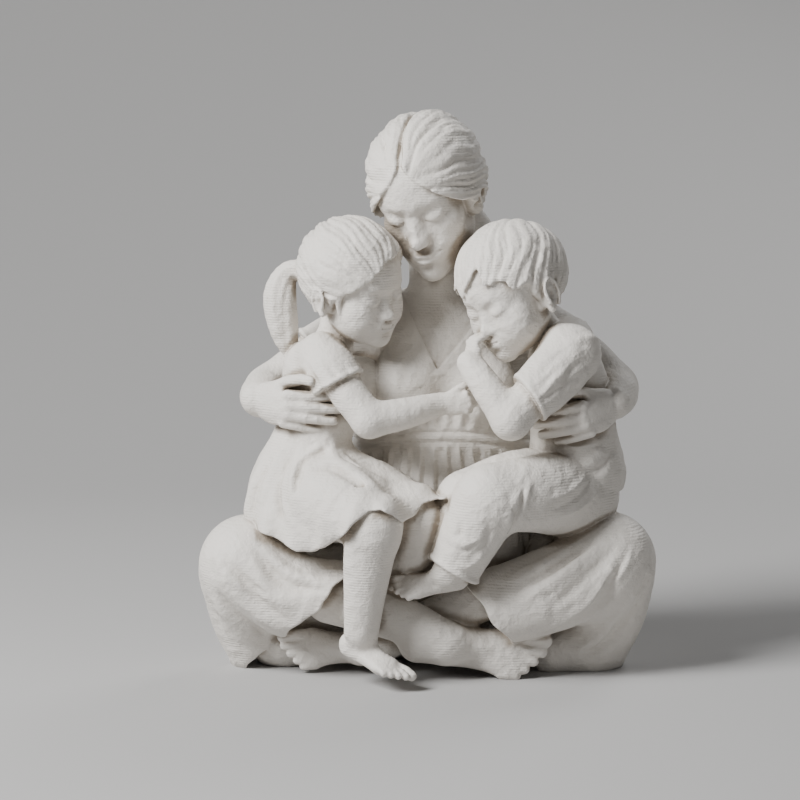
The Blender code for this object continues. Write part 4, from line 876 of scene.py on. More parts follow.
def mother_right_leg():
    """The trouser leg that hangs from the knee to the floor and is open at its slanted hem."""
    part = Part("mother's right trouser leg", 1.0)
    part.limb([joint(MOTHER, "right knee", 20), (-80, -16, 30, 17), (-74, -3, 4, 15)], 7)
    part.limb([(-79, -26, 48, 20), (-58, -32, 36, 19), (-34, -36, 34, 18)], 9)

    def hem(x, y, z):
        return hemmed(0.72 * x - 0.69 * z + 58.2 + 1.0 * np.sin(z * 0.33) + 0.3 * np.sin(z * 0.9))
    part.whole(hem, 1.2, "keep")
    part.folds([[(-90, -44, 49), (-79, -46, 32), (-62, -44, 22)],
                [(-77, -48, 55), (-68, -50, 40), (-54, -48, 35)],
                [(-72, -50, 64), (-55, -54, 52), (-41, -52, 49)],
                [(-95, -36, 35), (-87, -34, 17), (-74, -28, 10)],
                [(-98, -20, 44), (-96, -14, 24), (-88, -6, 6)]], 2.6, 2.2)
    part.folds([[(-94, -38, 56), (-82, -46, 44), (-70, -50, 36)],
                [(-66, -52, 60), (-54, -54, 50), (-42, -52, 42)],
                [(-99, -26, 50), (-98, -22, 34), (-94, -16, 16)],
                [(-80, -46, 26), (-72, -42, 18), (-64, -38, 12)]],
               1.5, 1.1)
    part.folds([[(-90, -42, 56), (-78, -48, 45), (-66, -50, 38)],
                [(-88, -40, 28), (-80, -38, 18), (-72, -34, 8)],
                [(-97, -30, 46), (-94, -26, 30), (-88, -20, 14)]], 1.3, -1.5)
    part.folds([[(-84, -46, 52), (-74, -48, 37), (-59, -46, 28)],
                [(-74, -49, 61), (-62, -52, 46), (-46, -50, 42)],
                [(-93, -40, 40), (-83, -40, 23), (-70, -34, 15)]], 2.0, -2.6)
    return part


def mother_left_leg():
    """The trouser leg with deep folds that swing from the knee to the floor."""
    part = Part("mother's left trouser leg", 1.0)
    part.limb([joint(MOTHER, "left knee", 20.5), (81, -17, 30, 18), (74, -4, 4, 16)], 7)
    part.limb([(80, -28, 50, 20), (56, -36, 40, 19), (26, -36, 30, 17)], 9)
    part.limb([(70, -12, 10, 15), (56, -16, 7, 11)], 8)

    def hem(x, y, z):
        return hemmed(-0.80 * x - 0.60 * z + 40.4 + 0.8 * np.sin(z * 0.4))
    part.whole(hem, 1.2, "keep")
    part.folds([[(82, -46, 50), (76, -50, 33), (66, -50, 21), (55, -48, 14)]], 3.4, -6.0)
    part.folds([[(82, -48, 54), (77, -52, 41), (70, -54, 32), (60, -54, 23), (54, -52, 19)]], 2.4, 2.4)
    part.folds([[(97, -34, 50), (91, -34, 32), (81, -30, 15), (69, -28, 8)]], 2.2, -3.6)
    part.folds([[(92, -36, 44), (85, -38, 29), (76, -34, 15), (64, -32, 9)],
                [(99, -18, 44), (97, -12, 24), (88, -6, 6)]],
               2.6, 2.4)
    part.folds([[(75, -52, 65), (58, -56, 50), (41, -54, 39)],
                [(63, -52, 70), (47, -55, 58), (32, -54, 47)]], 3.0, 1.8)
    part.folds([[(70, -52, 66), (53, -56, 54), (36, -54, 42)],
                [(84, -46, 62), (68, -54, 46), (52, -54, 34)]], 2.2, -1.8)
    part.folds([[(90, -42, 60), (84, -46, 48), (76, -50, 38), (66, -52, 28)],
                [(96, -36, 56), (93, -36, 40), (86, -34, 26)],
                [(80, -48, 68), (66, -55, 57), (52, -56, 45), (40, -54, 36)],
                [(66, -50, 72), (50, -54, 63), (34, -53, 53)],
                [(100, -24, 50), (98, -20, 32), (92, -14, 14)]], 1.4, 1.2)
    part.folds([[(88, -44, 58), (81, -48, 46), (72, -52, 35)], [(95, -38, 50), (90, -38, 34), (82, -34, 20)],
                [(74, -50, 70), (59, -55, 58), (45, -55, 46)]], 1.2, -1.5)
    return part


def mother_shins():
    """The crossed shins, and the bare feet in front."""
    m = MOTHER
    part = Part("mother's shins and feet", 0.8)
    part.limb([(-42.5, -32, 35.2, 11.5), (-20.3, -38, 30.1, 11), (-3, -41, 23.5, 9.6), (9, -42, 16.8, 8.6)],
              2)
    part.limb([(32.9, -30, 38.5, 11), (10.8, -26, 27.8, 10), (-11.5, -24, 17.5, 9),
               (-28.5, -28, 11.6, 7.6)], 2)
    part.place(m["right ankle"], axes((0.975, -0.19, -0.08), (0.10, -1, 0.25)),
               millimetres("mother_right_foot"))
    foot(part, 1, (0.03, -0.22, 0.0))
    part.place(m["left ankle"], axes((-0.96, -0.26, 0.02), (-0.12, -1, 0.20)),
               millimetres("mother_left_foot"))
    foot(part, -1, (0.03, -0.22, 0.0))
    return part


def mother_head():
    """The bowed head with its face, hair, ears and tail of hair."""
    part = Part("mother's head", 0.6)
    part.place(MOTHER["head"], axes((-0.28, -0.86, -0.42), (-0.17, 0, 1)), millimetres("mother_head"))
    face(part, 0.0)
    part.own(mother_hair, (0, -0.05, 0.05), 0.6, 0.008)
    ears(part, 1.0, 0.0)
    part.place()
    tail(part, [(18, 26, 200, 9), (23, 34, 186, 11.5), (24, 38, 166, 9.5), (22, 38, 144, 4)], 9)
    return part


def mother_hands():
    """The two hands that hold the children."""
    m = MOTHER
    part = Part("mother's hands", 0.3)
    part.place((-75, -21.5, 123), axes((0.66, -0.735, -0.147), (-0.735, -0.66, 0.0)),
               millimetres("mother_hand"))
    hand(part, 1, 0.30, 0.05, 0.36)
    part.place((83, -30, 122), axes((-0.66, -0.70, -0.27), (0.65, -0.72, 0.1)), millimetres("mother_hand"))
    hand(part, -1, 0.40, 0.05, 0.50)
    return part


# Places of the girl, who sits on the mother's right thigh
GIRL = {
    "neck": (-39.5, -20, 153.5), "skull": (-37.5, -20, 165), "head": (-31.6, -22, 172.6),
    "chest": (-47, -21, 118), "waist": (-51, -20, 104), "hips": (-55, -17, 84),
    "shoulder": (-41.5, -33, 138), "elbow": (-25, -45, 116.4), "wrist": (6.1, -35, 122.2),
    "near knee": (-23.5, -63, 69), "near ankle": (-28.5, -57, 24.9), "far knee": (-4, -46, 72)}


# Places along the hem of the girl's dress: across, and height over the floor
DRESS_HEM = ((-92, 64), (-79, 68), (-67, 65), (-57, 60), (-51, 60), (-44, 63), (-38.5, 67), (-31.7, 75.5),
             (-25, 80.5),
             (-20, 81.5), (-15, 79), (-10.8, 75), (-5.8, 76.5), (-1.6, 81.5), (5, 83))


def girl_skin():
    """The neck, legs, feet, arm and hand of the girl."""
    g = GIRL
    part = Part("girl's skin", 0.6)
    part.limb([(-42.5, -20, 143.6, 10), joint(g, "neck", 8.2), joint(g, "skull", 8.5)], 5)
    part.limb([(-50, -28, 78, 13), (-26, -58, 73, 12.5), joint(g, "near knee", 12.2)], 3)
    part.limb([(-22.7, -62, 74.2, 12.2), (-25.3, -61, 57.4, 10.9), (-27.1, -59, 40.3, 9.0),
               joint(g, "near ankle", 7.6)], 3)
    part.limb([(-40, -14, 78, 13), joint(g, "far knee", 11.5)], 3)
    part.limb([joint(g, "far knee", 11.5), (-4.5, -44, 61.1, 11), (-10.6, -38, 46.6, 9)], 3)
    part.limb([joint(g, "shoulder", 8.8), (-34.6, -40, 128.1, 8.2), joint(g, "elbow", 7.6)], 3)
    part.limb([joint(g, "elbow", 7.6), (-10.6, -42, 118.7, 7.0), joint(g, "wrist", 5.2)], 3)
    part.place((-28.5, -54.5, 21.6), axes((0.74, -0.56, -0.27), (0, 0, 1)), millimetres("girl_foot"))
    foot(part, 1)
    part.place((6, -37, 122), axes((0.98, -0.02, 0.10), (0.0, -0.98, 0.1)), millimetres("girl_hand"))
    hand(part, 1, 0.75, 0.0, 0.35, 1.15)
    return part


def girl_dress():
    """A dress with cap sleeves that spreads over the mother's thigh and ends in a waving hem."""
    g = GIRL
    part = Part("girl's dress", 0.3)
    part.limb([(-48, -19, 134, 16), joint(g, "chest", 16.8), joint(g, "waist", 17.5), joint(g, "hips", 22)],
              5, flat=(0.3, 1, 0, 1.1))
    part.limb([(-54, -10, 138, 9), (-44, -27, 140, 9)], 5)
    part.limb([(-44, -16, 130, 13), (-29, -6, 127, 13)], 5)
    part.limb([(-55, -20, 82, 21.5), (-42, -40, 80, 20), (-25, -61, 73, 15.5)], 8)
    part.limb([(-52, -10, 80, 23), (-26, -28, 79, 18), (-8, -44, 74, 14), (0, -49, 72, 13)], 8)
    part.limb([(-60, -24, 72, 19), (-58, -33, 66, 16), (-50, -46, 60, 10)], 8)

    def above_hem(x, y, z):
        sweep = np.interp(x, [p[0] for p in DRESS_HEM], [p[1] for p in DRESS_HEM])
        return z - sweep + 14 * smoothstep(-42, -26, y) * smoothstep(-50, -30, x)

    def hem(x, y, z):
        return hemmed(-0.85 * above_hem(x, y, z))

    def flare(x, y, z):
        near = bell(np.maximum(above_hem(x, y, z), 0), 9)
        return (1.2 + 1.5 * np.sin(0.36 * (x - 0.5 * y) + 0.6)) * near * smoothstep(-20, -34, y)
    part.whole(flare)
    part.whole(hem, 1.2, "keep")
    part.sleeve([(-46, -27, 142.5, 11), (-41.5, -34, 136, 12), (-35, -40, 125.5, 11.6)],
                (-38.5, -38, 131.2), (0.42, -0.2, -0.80), 3, 0.7)
    part.folds([[(-40, -40, 110), (-50, -42, 103), (-56, -44, 95), (-55, -46, 86), (-50, -48, 76)],
                [(-46, -46, 97), (-40, -48, 98), (-30, -54, 92), (-22, -62, 85)],
                [(-38, -40, 110), (-39, -44, 103), (-33, -50, 96), (-24, -52, 91)]], 2.6, 2.2)
    part.folds([[(-32, -42, 109), (-33, -44, 101), (-28, -48, 95), (-17, -50, 89)],
                [(-64, -34, 105), (-69, -36, 92), (-70, -36, 76)],
                [(-73, -26, 94), (-76, -28, 82), (-75, -26, 70)],
                [(-74, -8, 96), (-77, -4, 82), (-74, 0, 70)],
                [(-60, -44, 82), (-56, -48, 72), (-46, -50, 66)]], 2.2, 1.6)
    part.folds([[(-42, -42, 107), (-53, -43, 100), (-54, -46, 91), (-52, -48, 82)],
                [(-49, -48, 93), (-42, -50, 94), (-33, -56, 88), (-27, -62, 82)]], 1.8, -3.2)
    part.folds([[(-37, -44, 104), (-36, -46, 100), (-30, -50, 93)],
                [(-59, -38, 103), (-63, -40, 91), (-62, -42, 76)],
                [(-69, -32, 98), (-73, -32, 86), (-73, -30, 73)], [(-66, -44, 84), (-62, -46, 72)]], 1.6,
               -1.9)
    part.fan(((-50, -36, 140), (-37, -44, 141)), ((-44, -44, 131), (-33, -46, 134)), 5, 1.1, -0.9)
    part.folds([[(-56, -34, 128), (-50, -38, 122), (-44, -40, 116)],
                [(-62, -30, 124), (-56, -36, 116), (-50, -38, 110)],
                [(-52, -36, 134), (-54, -34, 128), (-60, -28, 124)]], 1.6, 1.0)
    return part


def girl_head():
    """The girl's head with its face, hair, ears, a loose lock and a tail of hair."""
    part = Part("girl's head", 0.5)
    part.place(GIRL["head"], axes((0.72, -0.65, -0.20), (-0.16, -0.05, 1)), millimetres("girl_head"))
    face(part, 1.0)
    part.own(girl_hair, (0, -0.05, 0.05), 0.6, 0.008)
    ears(part, 1.0, 0.02)
    part.limb([(0.285, 0.20, 0.13, 0.030), (0.315, 0.135, 0.02, 0.030), (0.300, 0.125, -0.09, 0.024),
               (0.285, 0.135, -0.20, 0.008)], 0.01)
    part.place()
    tail(part, [(-52, -14, 179, 5), (-61.2, -12, 178.4, 5), (-65, -12, 167.7, 7.5), (-63.1, -12, 152.5, 6.5),
                (-60, -12, 140.5, 2.5)], 7)
    return part


# Places of the boy, who sits on the mother's left thigh
BOY = {
    "neck": (52, -21, 152), "skull": (46, -22, 160), "head": (38.6, -26, 169.8),
    "chest": (64, -18, 124), "waist": (66, -18, 104), "hips": (67, -17, 88),
    "shoulder": (63.7, -38, 143.7), "elbow": (36.5, -54, 117.5), "wrist": (19, -42, 141),
    "near knee": (28, -58, 84), "near ankle": (9.8, -55, 51), "far knee": (18, -42, 81)}


def boy_skin():
    """The neck, lower legs, feet, arm and hand of the boy."""
    b = BOY
    part = Part("boy's skin", 0.6)
    part.limb([(57, -20, 144, 10), joint(b, "neck", 9), joint(b, "skull", 9)], 5)
    part.limb([(13.7, -56, 55.6, 8.5), joint(b, "near ankle", 7.2)], 2)
    part.limb([joint(b, "shoulder", 11), (51.6, -46, 133.2, 9.8), joint(b, "elbow", 8.3)], 3)
    part.limb([joint(b, "elbow", 8.3), (27, -49, 130, 7), joint(b, "wrist", 5.8)], 3)
    part.place(b["near ankle"], axes((-0.98, -0.15, -0.10), (-0.1, -0.65, 0.75)), millimetres("boy_foot"))
    foot(part, -1)
    part.place(b["wrist"], axes((0.14, 0.24, 0.96), (-0.80, -0.58, 0.12)), millimetres("boy_hand"))
    hand(part, -1, 0.60, 0.0, 0.30, 1.2, False)
    return part


def boy_trousers():
    """The knee trousers of the boy."""
    b = BOY
    part = Part("boy's trousers", 0.5)
    part.limb([(66, -22, 80, 20), (48, -46, 84, 17), joint(b, "near knee", 15)], 5)
    part.limb([(66, -10, 80, 20), (40, -30, 86, 15), joint(b, "far knee", 13)], 5)
    part.sleeve([(26.6, -58, 81.4, 15), (20.6, -58, 70.9, 14), (12.9, -56, 53.9, 11.5),
                 (10.3, -56, 47.7, 11.5)],
                (10.7, -56, 52.1), (-0.5, 0, -0.87), 4)
    part.sleeve([(17.4, -42, 78.5, 13), (13.1, -44, 67.7, 12), (8.7, -46, 50.3, 10)],
                (9.5, -46, 53.9), (-0.3, 0, -0.9), 4)
    part.folds([[(31, -70, 82), (35, -68, 72), (28, -66, 62), (19, -66, 60)],
                [(40, -66, 89), (36, -70, 82), (34, -68, 74)]],
               1.8, 1.3)
    part.folds([[(33, -70, 85), (37, -66, 77), (34, -64, 67)], [(27, -72, 77), (25, -70, 65), (17, -68, 62)],
                [(15, -70, 76), (14, -70, 68)]], 1.4, -1.3)
    part.folds([[(46, -64, 94), (42, -66, 86), (40, -64, 78)], [(38, -68, 88), (37, -68, 80), (31, -68, 72)],
                [(24, -72, 70), (18, -70, 66), (12, -68, 66)], [(26, -70, 60), (20, -70, 55), (12, -68, 56)],
                [(70, -44, 92), (60, -52, 86), (48, -58, 84)],
                [(76, -38, 86), (66, -46, 80), (54, -54, 78)]], 1.3, 1.1)
    part.folds([[(72, -42, 89), (62, -50, 83), (50, -56, 81)], [(42, -66, 90), (39, -67, 83), (35, -66, 75)],
                [(22, -72, 67), (16, -70, 62)]], 1.1, -1.3)
    return part


def boy_shirt():
    """A shirt with short sleeves that hangs over the trousers to a loose hem."""
    b = BOY
    part = Part("boy's shirt", 0.3)
    part.limb([(61, -20, 139, 16), joint(b, "chest", 18.3), joint(b, "waist", 19.6), (67, -18, 90, 22.4)], 5)
    part.limb([(60, -36, 146, 11.5), (64, -2, 146, 12)], 6)

    def hem(x, y, z):
        return hemmed(92.5 - z - 0.33 * (x - 59) + 0.1 * (y + 20) + 1.0 * np.sin(x * 0.35))
    part.whole(hem, 1.2, "keep")
    part.sleeve([(63.7, -37, 144.5, 13), (52.9, -46, 134.1, 12.4), (42.2, -52, 124.3, 11)],
                (42, -51, 130), (-0.80, -0.25, -0.50), 3, 0.4)
    part.folds([[(82, -30, 110), (72, -38, 97), (59, -40, 90)],
                [(50, -42, 102), (59, -42, 94), (77, -36, 90)],
                [(46, -40, 107), (43, -40, 97), (50, -42, 90)], [(80, 0, 130), (76, 2, 112), (70, 4, 96)]],
               2.2, 1.2)
    part.folds([[(83, -28, 103), (75, -36, 93), (63, -40, 88)],
                [(58, -56, 127), (60, -52, 138), (69, -44, 144)]], 1.6, -1.3)
    part.folds([[(47, -60, 137), (51, -58, 142), (59, -52, 148)],
                [(44, -62, 131), (49, -62, 133), (56, -58, 139)]], 1.5, -0.9)
    part.folds([[(50, -62, 128), (54, -60, 135), (62, -52, 141)],
                [(52, -56, 122), (60, -52, 126), (70, -42, 134)],
                [(57, -52, 117), (66, -46, 120), (76, -36, 128)],
                [(58, -48, 150), (66, -44, 150), (74, -34, 148)],
                [(56, -44, 108), (66, -40, 104), (78, -34, 106)],
                [(48, -42, 100), (56, -42, 98), (66, -40, 100)]], 1.4, 1.0)
    part.folds([[(48, -62, 126), (56, -58, 131), (66, -48, 138)],
                [(55, -54, 119), (63, -48, 123), (74, -38, 131)],
                [(54, -43, 112), (62, -42, 110), (74, -36, 112)]], 1.1, -1.3)
    return part


def boy_head():
    """The boy's head with its face, hair and ears."""
    part = Part("boy's head", 0.5)
    part.place(BOY["head"], axes((-0.68, -0.62, -0.36), (-0.28, 0, 1)), millimetres("boy_head"))
    face(part, 1.0)
    part.own(boy_hair, (0, -0.05, 0.05), 0.6, 0.008)
    ears(part, 1.1, 0.02)
    return part


def all_parts():
    """Every part of the group, each of which is joined to the ones before it."""
    return [mother_skin(), mother_blouse(), mother_seat(), mother_right_leg(), mother_left_leg(),
            mother_shins(), mother_head(), mother_hands(),
            girl_skin(), girl_dress(), girl_head(),
            boy_skin(), boy_trousers(), boy_shirt(), boy_head()]


def largest_body(points, quads):
    """Keep the one closed skin that holds the sculpture, without stray islands or sealed hollows."""
    label = np.arange(len(points))
    a = np.concatenate([quads[:, 0], quads[:, 1], quads[:, 2]])
    b = np.concatenate([quads[:, 1], quads[:, 2], quads[:, 3]])
    while True:
        low = np.minimum(label[a], label[b])
        before = label.copy()
        np.minimum.at(label, a, low)
        np.minimum.at(label, b, low)
        label = label[label]
        if np.array_equal(label, before):
            break
    names, counts = np.unique(label, return_counts=True)
    keep = label == names[np.argmax(counts)]
    number = np.cumsum(keep) - 1
    return points[keep], number[quads[keep[quads[:, 0]]]]


def mesh_from(name, points, quads):
    """A mesh from places and four-cornered faces."""
    mesh = bpy.data.meshes.new(name)
    mesh.vertices.add(len(points))
    mesh.vertices.foreach_set("co", points.astype(np.float32).ravel())
    mesh.loops.add(quads.size)
    mesh.loops.foreach_set("vertex_index", quads.astype(np.int32).ravel())
    mesh.polygons.add(len(quads))
    mesh.polygons.foreach_set("loop_start", np.arange(0, quads.size, 4, dtype=np.int32))
    mesh.update(calc_edges=True)
    return mesh


def pick_only(item):
    """Select one object and make it the active one."""
    for other in bpy.context.view_layer.objects:
        other.select_set(other == item)
    bpy.context.view_layer.objects.active = item


def simplify(item, count):
    """Reduce the triangles to a number, keeping more of them where the surface turns."""
    item.data.calc_loop_triangles()
    thin = item.modifiers.new("thin", "DECIMATE")
    thin.ratio = min(1.0, count / len(item.data.loop_triangles))
    thin.use_collapse_triangulate = True
    pick_only(item)
    bpy.ops.object.modifier_apply(modifier=thin.name)


def fit(mesh, box):
    """Size the mesh in metres to the height of a box, on its floor and with its middle over the box's."""
    points = np.empty(len(mesh.vertices) * 3)
    mesh.vertices.foreach_get("co", points)
    points = points.reshape(-1, 3)
    low, high = points.min(0), points.max(0)
    box_low, box_high = np.array(box[0]), np.array(box[1])
    scale = (box_high[2] - box_low[2]) / (high[2] - low[2])
    middle = np.array([(low[0] + high[0]) / 2, (low[1] + high[1]) / 2, low[2]])
    target = np.array([(box_low[0] + box_high[0]) / 2, (box_low[1] + box_high[1]) / 2, box_low[2]])
    points = (points - middle) * scale + target
    points[points[:, 2] < box_low[2] + FLAT_BAND, 2] = box_low[2]
    mesh.vertices.foreach_set("co", points.ravel())
    mesh.update()


def mark_hollows(mesh, grid, low, cell):
    """Store on each vertex how little room there is in front of it: 0 in the open, towards 1 in a crease,
    where the material paints shade.
    """
    points = np.empty(len(mesh.vertices) * 3)
    mesh.vertices.foreach_get("co", points)
    normals = np.empty(len(mesh.vertices) * 3)
    mesh.vertices.foreach_get("normal", normals)
    ahead = points.reshape(-1, 3) + HOLLOW_REACH * normals.reshape(-1, 3)
    index = np.rint((ahead - np.array(low)) / cell).astype(int)
    index = np.clip(index, 0, np.array(grid.shape) - 1)
    room = grid[index[:, 0], index[:, 1], index[:, 2]]
    hollow = np.clip(1.0 - room / HOLLOW_REACH, 0.0, 1.0)
    layer = mesh.attributes.new(HOLLOW, "FLOAT", "POINT")
    layer.data.foreach_set("value", hollow.astype(np.float32))


class Value:
    """A number on a socket; maths on it adds the nodes."""

    def __init__(self, graph, socket):
        self.graph, self.socket = graph, socket

    def math(self, operation, *others):
        """A Math node on this value and others."""
        values = {i + 1: other for i, other in enumerate(others)}
        return self.graph.node("ShaderNodeMath", {"operation": operation}, {0: self, **values}).out()

    def __add__(self, other):
        return self.math("ADD", other)

    def __sub__(self, other):
        return self.math("SUBTRACT", other)

    def __rsub__(self, other):
        return (self * -1.0) + other

    def __mul__(self, other):
        return self.math("MULTIPLY", other)

    def __truediv__(self, other):
        return self.math("DIVIDE", other)

    __radd__ = __add__
    __rmul__ = __mul__


class Node:
    """A node, from which values are read."""

    def __init__(self, graph, node):
        self.graph, self.node = graph, node

    def out(self, name=0):
        """The value on one of the node's outputs."""
        return Value(self.graph, self.node.outputs[name])


class Graph:
    """The node tree of a material."""

    def __init__(self, material):
        material.use_nodes = True
        self.tree = material.node_tree
        self.tree.nodes.clear()

    def node(self, kind, settings=None, inputs=None):
        """Add a node: its settings first, then the values or links of its sockets."""
        node = self.tree.nodes.new(kind)
        for name, value in (settings or {}).items():
            setattr(node, name, value)
        for name, value in (inputs or {}).items():
            if isinstance(value, Value):
                self.tree.links.new(value.socket, node.inputs[name])
            else:
                node.inputs[name].default_value = value
        return Node(self, node)

    def mix(self, factor, a, b):
        """Blend two colours by a factor."""
        settings = {"data_type": "RGBA"}
        return self.node("ShaderNodeMix", settings, {"Factor": factor, 6: a, 7: b}).out(2)

    def spread(self, value, low, high, to_low=0.0, to_high=1.0):
        """Stretch a range of a value over another range, held at its ends."""
        return self.node("ShaderNodeMapRange", {"interpolation_type": "SMOOTHSTEP"},
                         {"Value": value, "From Min": low, "From Max": high, "To Min": to_low,
                          "To Max": to_high}).out()

    def noise(self, place, scale, detail=4.0, roughness=0.5):
        """Even cloudy noise from 0 to 1; scale is in repeats per metre."""
        return self.node("ShaderNodeTexNoise", {}, {"Vector": place, "Scale": scale, "Detail": detail,
                                                     "Roughness": roughness}).out("Fac")


def cast_material(finish):
    """Matt off-white cast stone: fine layer lines, tool strokes, painted shade in the hollows and a lighter
    tone on sharp edges.
    """
    material = bpy.data.materials.new("matt off-white cast")
    graph = Graph(material)
    place = graph.node("ShaderNodeTexCoord").out("Object")
    height = graph.node("ShaderNodeSeparateXYZ", {}, {"Vector": place}).out("Z")
    drift = graph.noise(place, DRIFT_SCALE, 2.0)
    layers = (height / finish.layer_height + drift * 1.5) * (2 * math.pi)
    line = layers.math("SINE")
    uneven = graph.spread(graph.noise(place, UNEVEN_SCALE, 3.0), 0.40, 0.65, 0.10, 1.0)
    grain = graph.noise(place, GRAIN_SCALE, 3.0, 0.6)
    stretched = graph.node("ShaderNodeMapping", {}, {
        "Vector": place, "Rotation": STROKE_TURN, "Scale": STROKE_STRETCH}).out()
    strokes = graph.noise(stretched, STROKE_SCALE, 4.0, 0.6)
    gouges = graph.node("ShaderNodeTexVoronoi", {"feature": "SMOOTH_F1"}, {
        "Vector": stretched, "Scale": GOUGE_SCALE, "Smoothness": 0.25}).out("Distance")
    worked = graph.spread(graph.noise(place, WORKED_SCALE, 2.0), 0.45, 0.60)
    patches = graph.noise(place, PATCH_SCALE, 4.0, 0.6)
    edge = graph.node("ShaderNodeNewGeometry").out("Pointiness")
    hollow = graph.node("ShaderNodeAttribute", {"attribute_name": HOLLOW}).out("Fac")
    # painted shade: the colour goes towards the painted shade colour where little room lies in front of the
    # surface, a little uneven by the tone patches
    painted_shade_amount = graph.spread(hollow + (patches - 0.5) * 0.15, 0.12, 0.85)
    # lighter colour on sharp edges, found by pointiness
    sharp_edge_share = graph.spread(edge, 0.52, 0.60)
    colour = graph.mix(painted_shade_amount * 0.85, finish.body_colour, finish.painted_shade_colour)
    colour = graph.mix(graph.spread(patches, 0.35, 0.7) * 0.10, colour, PATCH_COLOUR)
    colour = graph.mix(sharp_edge_share * 0.25, colour, SHARP_EDGE_COLOUR)
    relief = line * uneven * finish.layer_depth + (strokes - 0.5) * finish.stroke_depth
    relief = relief + gouges * worked * finish.stroke_depth * GOUGE_SHARE + (grain - 0.5) * GRAIN_DEPTH
    bump = graph.node("ShaderNodeBump", {}, {"Height": relief, "Distance": 1.0, "Strength": 1.0}).out()
    shader = graph.node("ShaderNodeBsdfPrincipled", {}, {
        "Base Color": colour,
        "Roughness": graph.spread(patches, 0.3, 0.7, finish.roughness - 0.06, finish.roughness + 0.08),
        "Specular IOR Level": 0.35,
        "Normal": bump})
    graph.node("ShaderNodeOutputMaterial", {}, {"Surface": shader.out()})
    return material


class FiguresOperator(bpy.types.Operator):
    """Model the mother and her two children as one cast piece"""

    bl_idname = "sculpture.figures"
    bl_label = "Mother and children"

    def execute(self, context):
        cell = millimetres("cell")
        grid = measure(Clay(all_parts()), BOX_LOW, BOX_HIGH, cell)
        points, quads = largest_body(*skin_of(grid, BOX_LOW, cell))
        piece = bpy.data.objects.new(NAME, mesh_from(NAME, points, quads))
        context.scene.collection.objects.link(piece)
        simplify(piece, context.scene.figure_sizes.triangles)
        mark_hollows(piece.data, grid, BOX_LOW, cell)
        fit(piece.data, SOLID_BOX)
        piece.data.shade_smooth()
        piece.data.materials.append(cast_material(context.scene.cast_finish))
        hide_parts("mother_and_children")
        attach(piece, "root")
        return {"FINISHED"}


def floor_material(colour):
    """Plain pale paper with a faint grain."""
    material = bpy.data.materials.new("pale floor")
    graph = Graph(material)
    place = graph.node("ShaderNodeTexCoord").out("Object")
    grain = graph.noise(place, 40.0, 3.0)
    shade = graph.mix(grain * 0.08, colour, tuple(0.92 * v for v in colour[:3]) + (1.0,))
    shader = graph.node("ShaderNodeBsdfPrincipled", {}, {"Base Color": shade, "Roughness": 0.85})
    graph.node("ShaderNodeOutputMaterial", {}, {"Surface": shader.out()})
    return material


def sweep(level):
    """The floor, which curves up behind into the backdrop."""
    profile = [(-SWEEP_LENGTH, 0.0)]
    for step in range(SWEEP_STEPS + 1):
        turn = 0.5 * math.pi * step / SWEEP_STEPS
        profile.append((SWEEP_BACK + SWEEP_RADIUS * math.sin(turn), SWEEP_RADIUS * (1 - math.cos(turn))))
    profile.append((SWEEP_BACK + SWEEP_RADIUS, SWEEP_LENGTH))
    places = [(side * SWEEP_LENGTH, y, z + level) for y, z in profile for side in (-1, 1)]
    faces = [(i, i + 1, i + 3, i + 2) for i in range(0, len(places) - 2, 2)]
    mesh = bpy.data.meshes.new("floor and backdrop")
    mesh.from_pydata(places, [], faces)
    mesh.shade_smooth()
    item = bpy.data.objects.new("floor and backdrop", mesh)
    bpy.context.scene.collection.objects.link(item)
    return item


def area_light(name, place, size, power):
    """A soft square light that looks at the middle of the sculpture."""
    light = bpy.data.lights.new(name, "AREA")
    light.energy = power
    light.size = size
    item = bpy.data.objects.new(name, light)
    bpy.context.scene.collection.objects.link(item)
    item.location = place
    item.rotation_euler = (Vector(LIT_PLACE) - Vector(place)).to_track_quat("-Z", "Y").to_euler()


def camera():
    """The camera, a little above the heads and tilted slightly down."""
    lens = bpy.data.cameras.new("camera")
    lens.lens = VIEW_LENS
    lens.sensor_width = 36.0
    lens.clip_start = 0.05
    item = bpy.data.objects.new("camera", lens)
    bpy.context.scene.collection.objects.link(item)
    rise = math.radians(VIEW_HEIGHT_DEGREES)
    back = Vector((0.0, -math.cos(rise), math.sin(rise)))
    item.location = Vector(VIEW_TARGET) + back * VIEW_DISTANCE
    item.rotation_euler = (math.radians(90) - rise, 0.0, 0.0)
    bpy.context.scene.camera = item


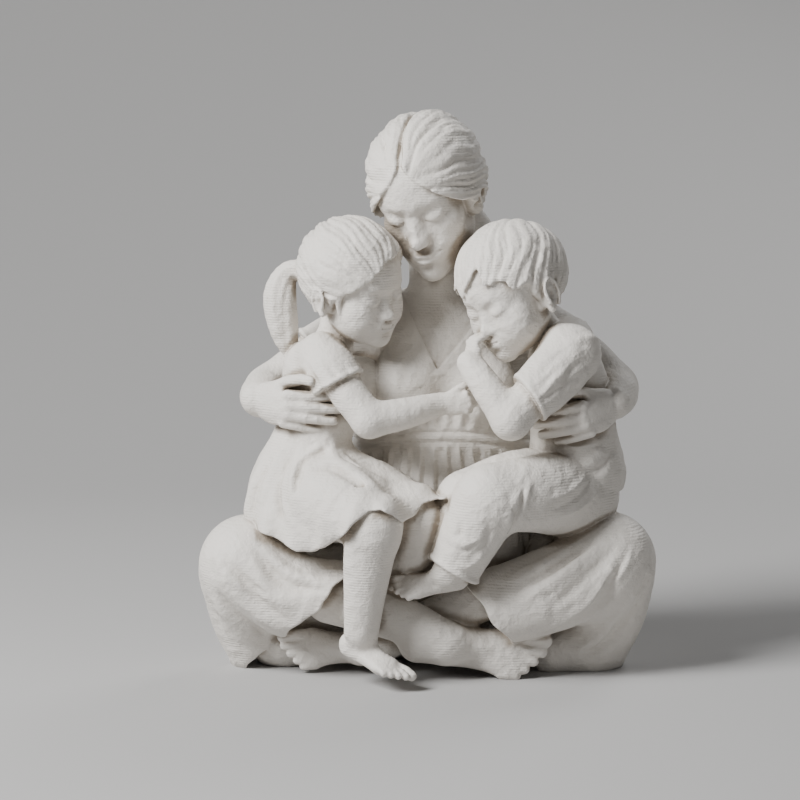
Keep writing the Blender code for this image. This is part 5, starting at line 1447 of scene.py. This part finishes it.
class StageOperator(bpy.types.Operator):
    """Lay the floor and backdrop, and set the lights and the camera"""

    bl_idname = "sculpture.stage"
    bl_label = "Stage"

    def execute(self, context):
        stage = context.scene.stage_settings
        floor = sweep(SOLID_BOX[0][2])
        floor.data.materials.append(floor_material(tuple(stage.floor_colour)))
        area_light("key light", *KEY_LIGHT, stage.key_power)
        area_light("fill light", *FILL_LIGHT, stage.fill_power)
        area_light("rim light", *RIM_LIGHT, stage.rim_power)
        world = bpy.data.worlds.new("even light")
        world.use_nodes = True
        background = world.node_tree.nodes["Background"]
        background.inputs["Color"].default_value = SKY_COLOUR
        background.inputs["Strength"].default_value = stage.sky_strength
        context.scene.world = world
        camera()
        return {"FINISHED"}


class SculpturePanel(bpy.types.Panel):
    """Lists the sizes, the finish and the steps"""

    bl_idname = "VIEW3D_PT_sculpture"
    bl_label = "Mother and children"
    bl_space_type = "VIEW_3D"
    bl_region_type = "UI"
    bl_category = "Sculpture"

    def draw(self, context):
        layout = self.layout
        for settings in (context.scene.figure_sizes, context.scene.cast_finish, context.scene.stage_settings):
            box = layout.box()
            for name in settings.bl_rna.properties.keys():
                if name not in ("rna_type", "name"):
                    box.prop(settings, name)
        for operator in OPERATORS:
            layout.operator(operator.bl_idname)


OPERATORS = (FiguresOperator, StageOperator)
CLASSES = (FigureSizes, CastFinish, StageSettings, *OPERATORS, SculpturePanel)


def register():
    """Make the settings, the steps and the panel known."""
    for item in CLASSES:
        bpy.utils.register_class(item)
    bpy.types.Scene.figure_sizes = bpy.props.PointerProperty(type=FigureSizes)
    bpy.types.Scene.cast_finish = bpy.props.PointerProperty(type=CastFinish)
    bpy.types.Scene.stage_settings = bpy.props.PointerProperty(type=StageSettings)


def unregister():
    """Take them away again."""
    del bpy.types.Scene.stage_settings
    del bpy.types.Scene.cast_finish
    del bpy.types.Scene.figure_sizes
    for item in reversed(CLASSES):
        bpy.utils.unregister_class(item)


def main():
    """Model the group and lay the stage."""
    register()
    bpy.ops.sculpture.figures()
    bpy.ops.sculpture.stage()


if __name__ == "__main__":
    main()
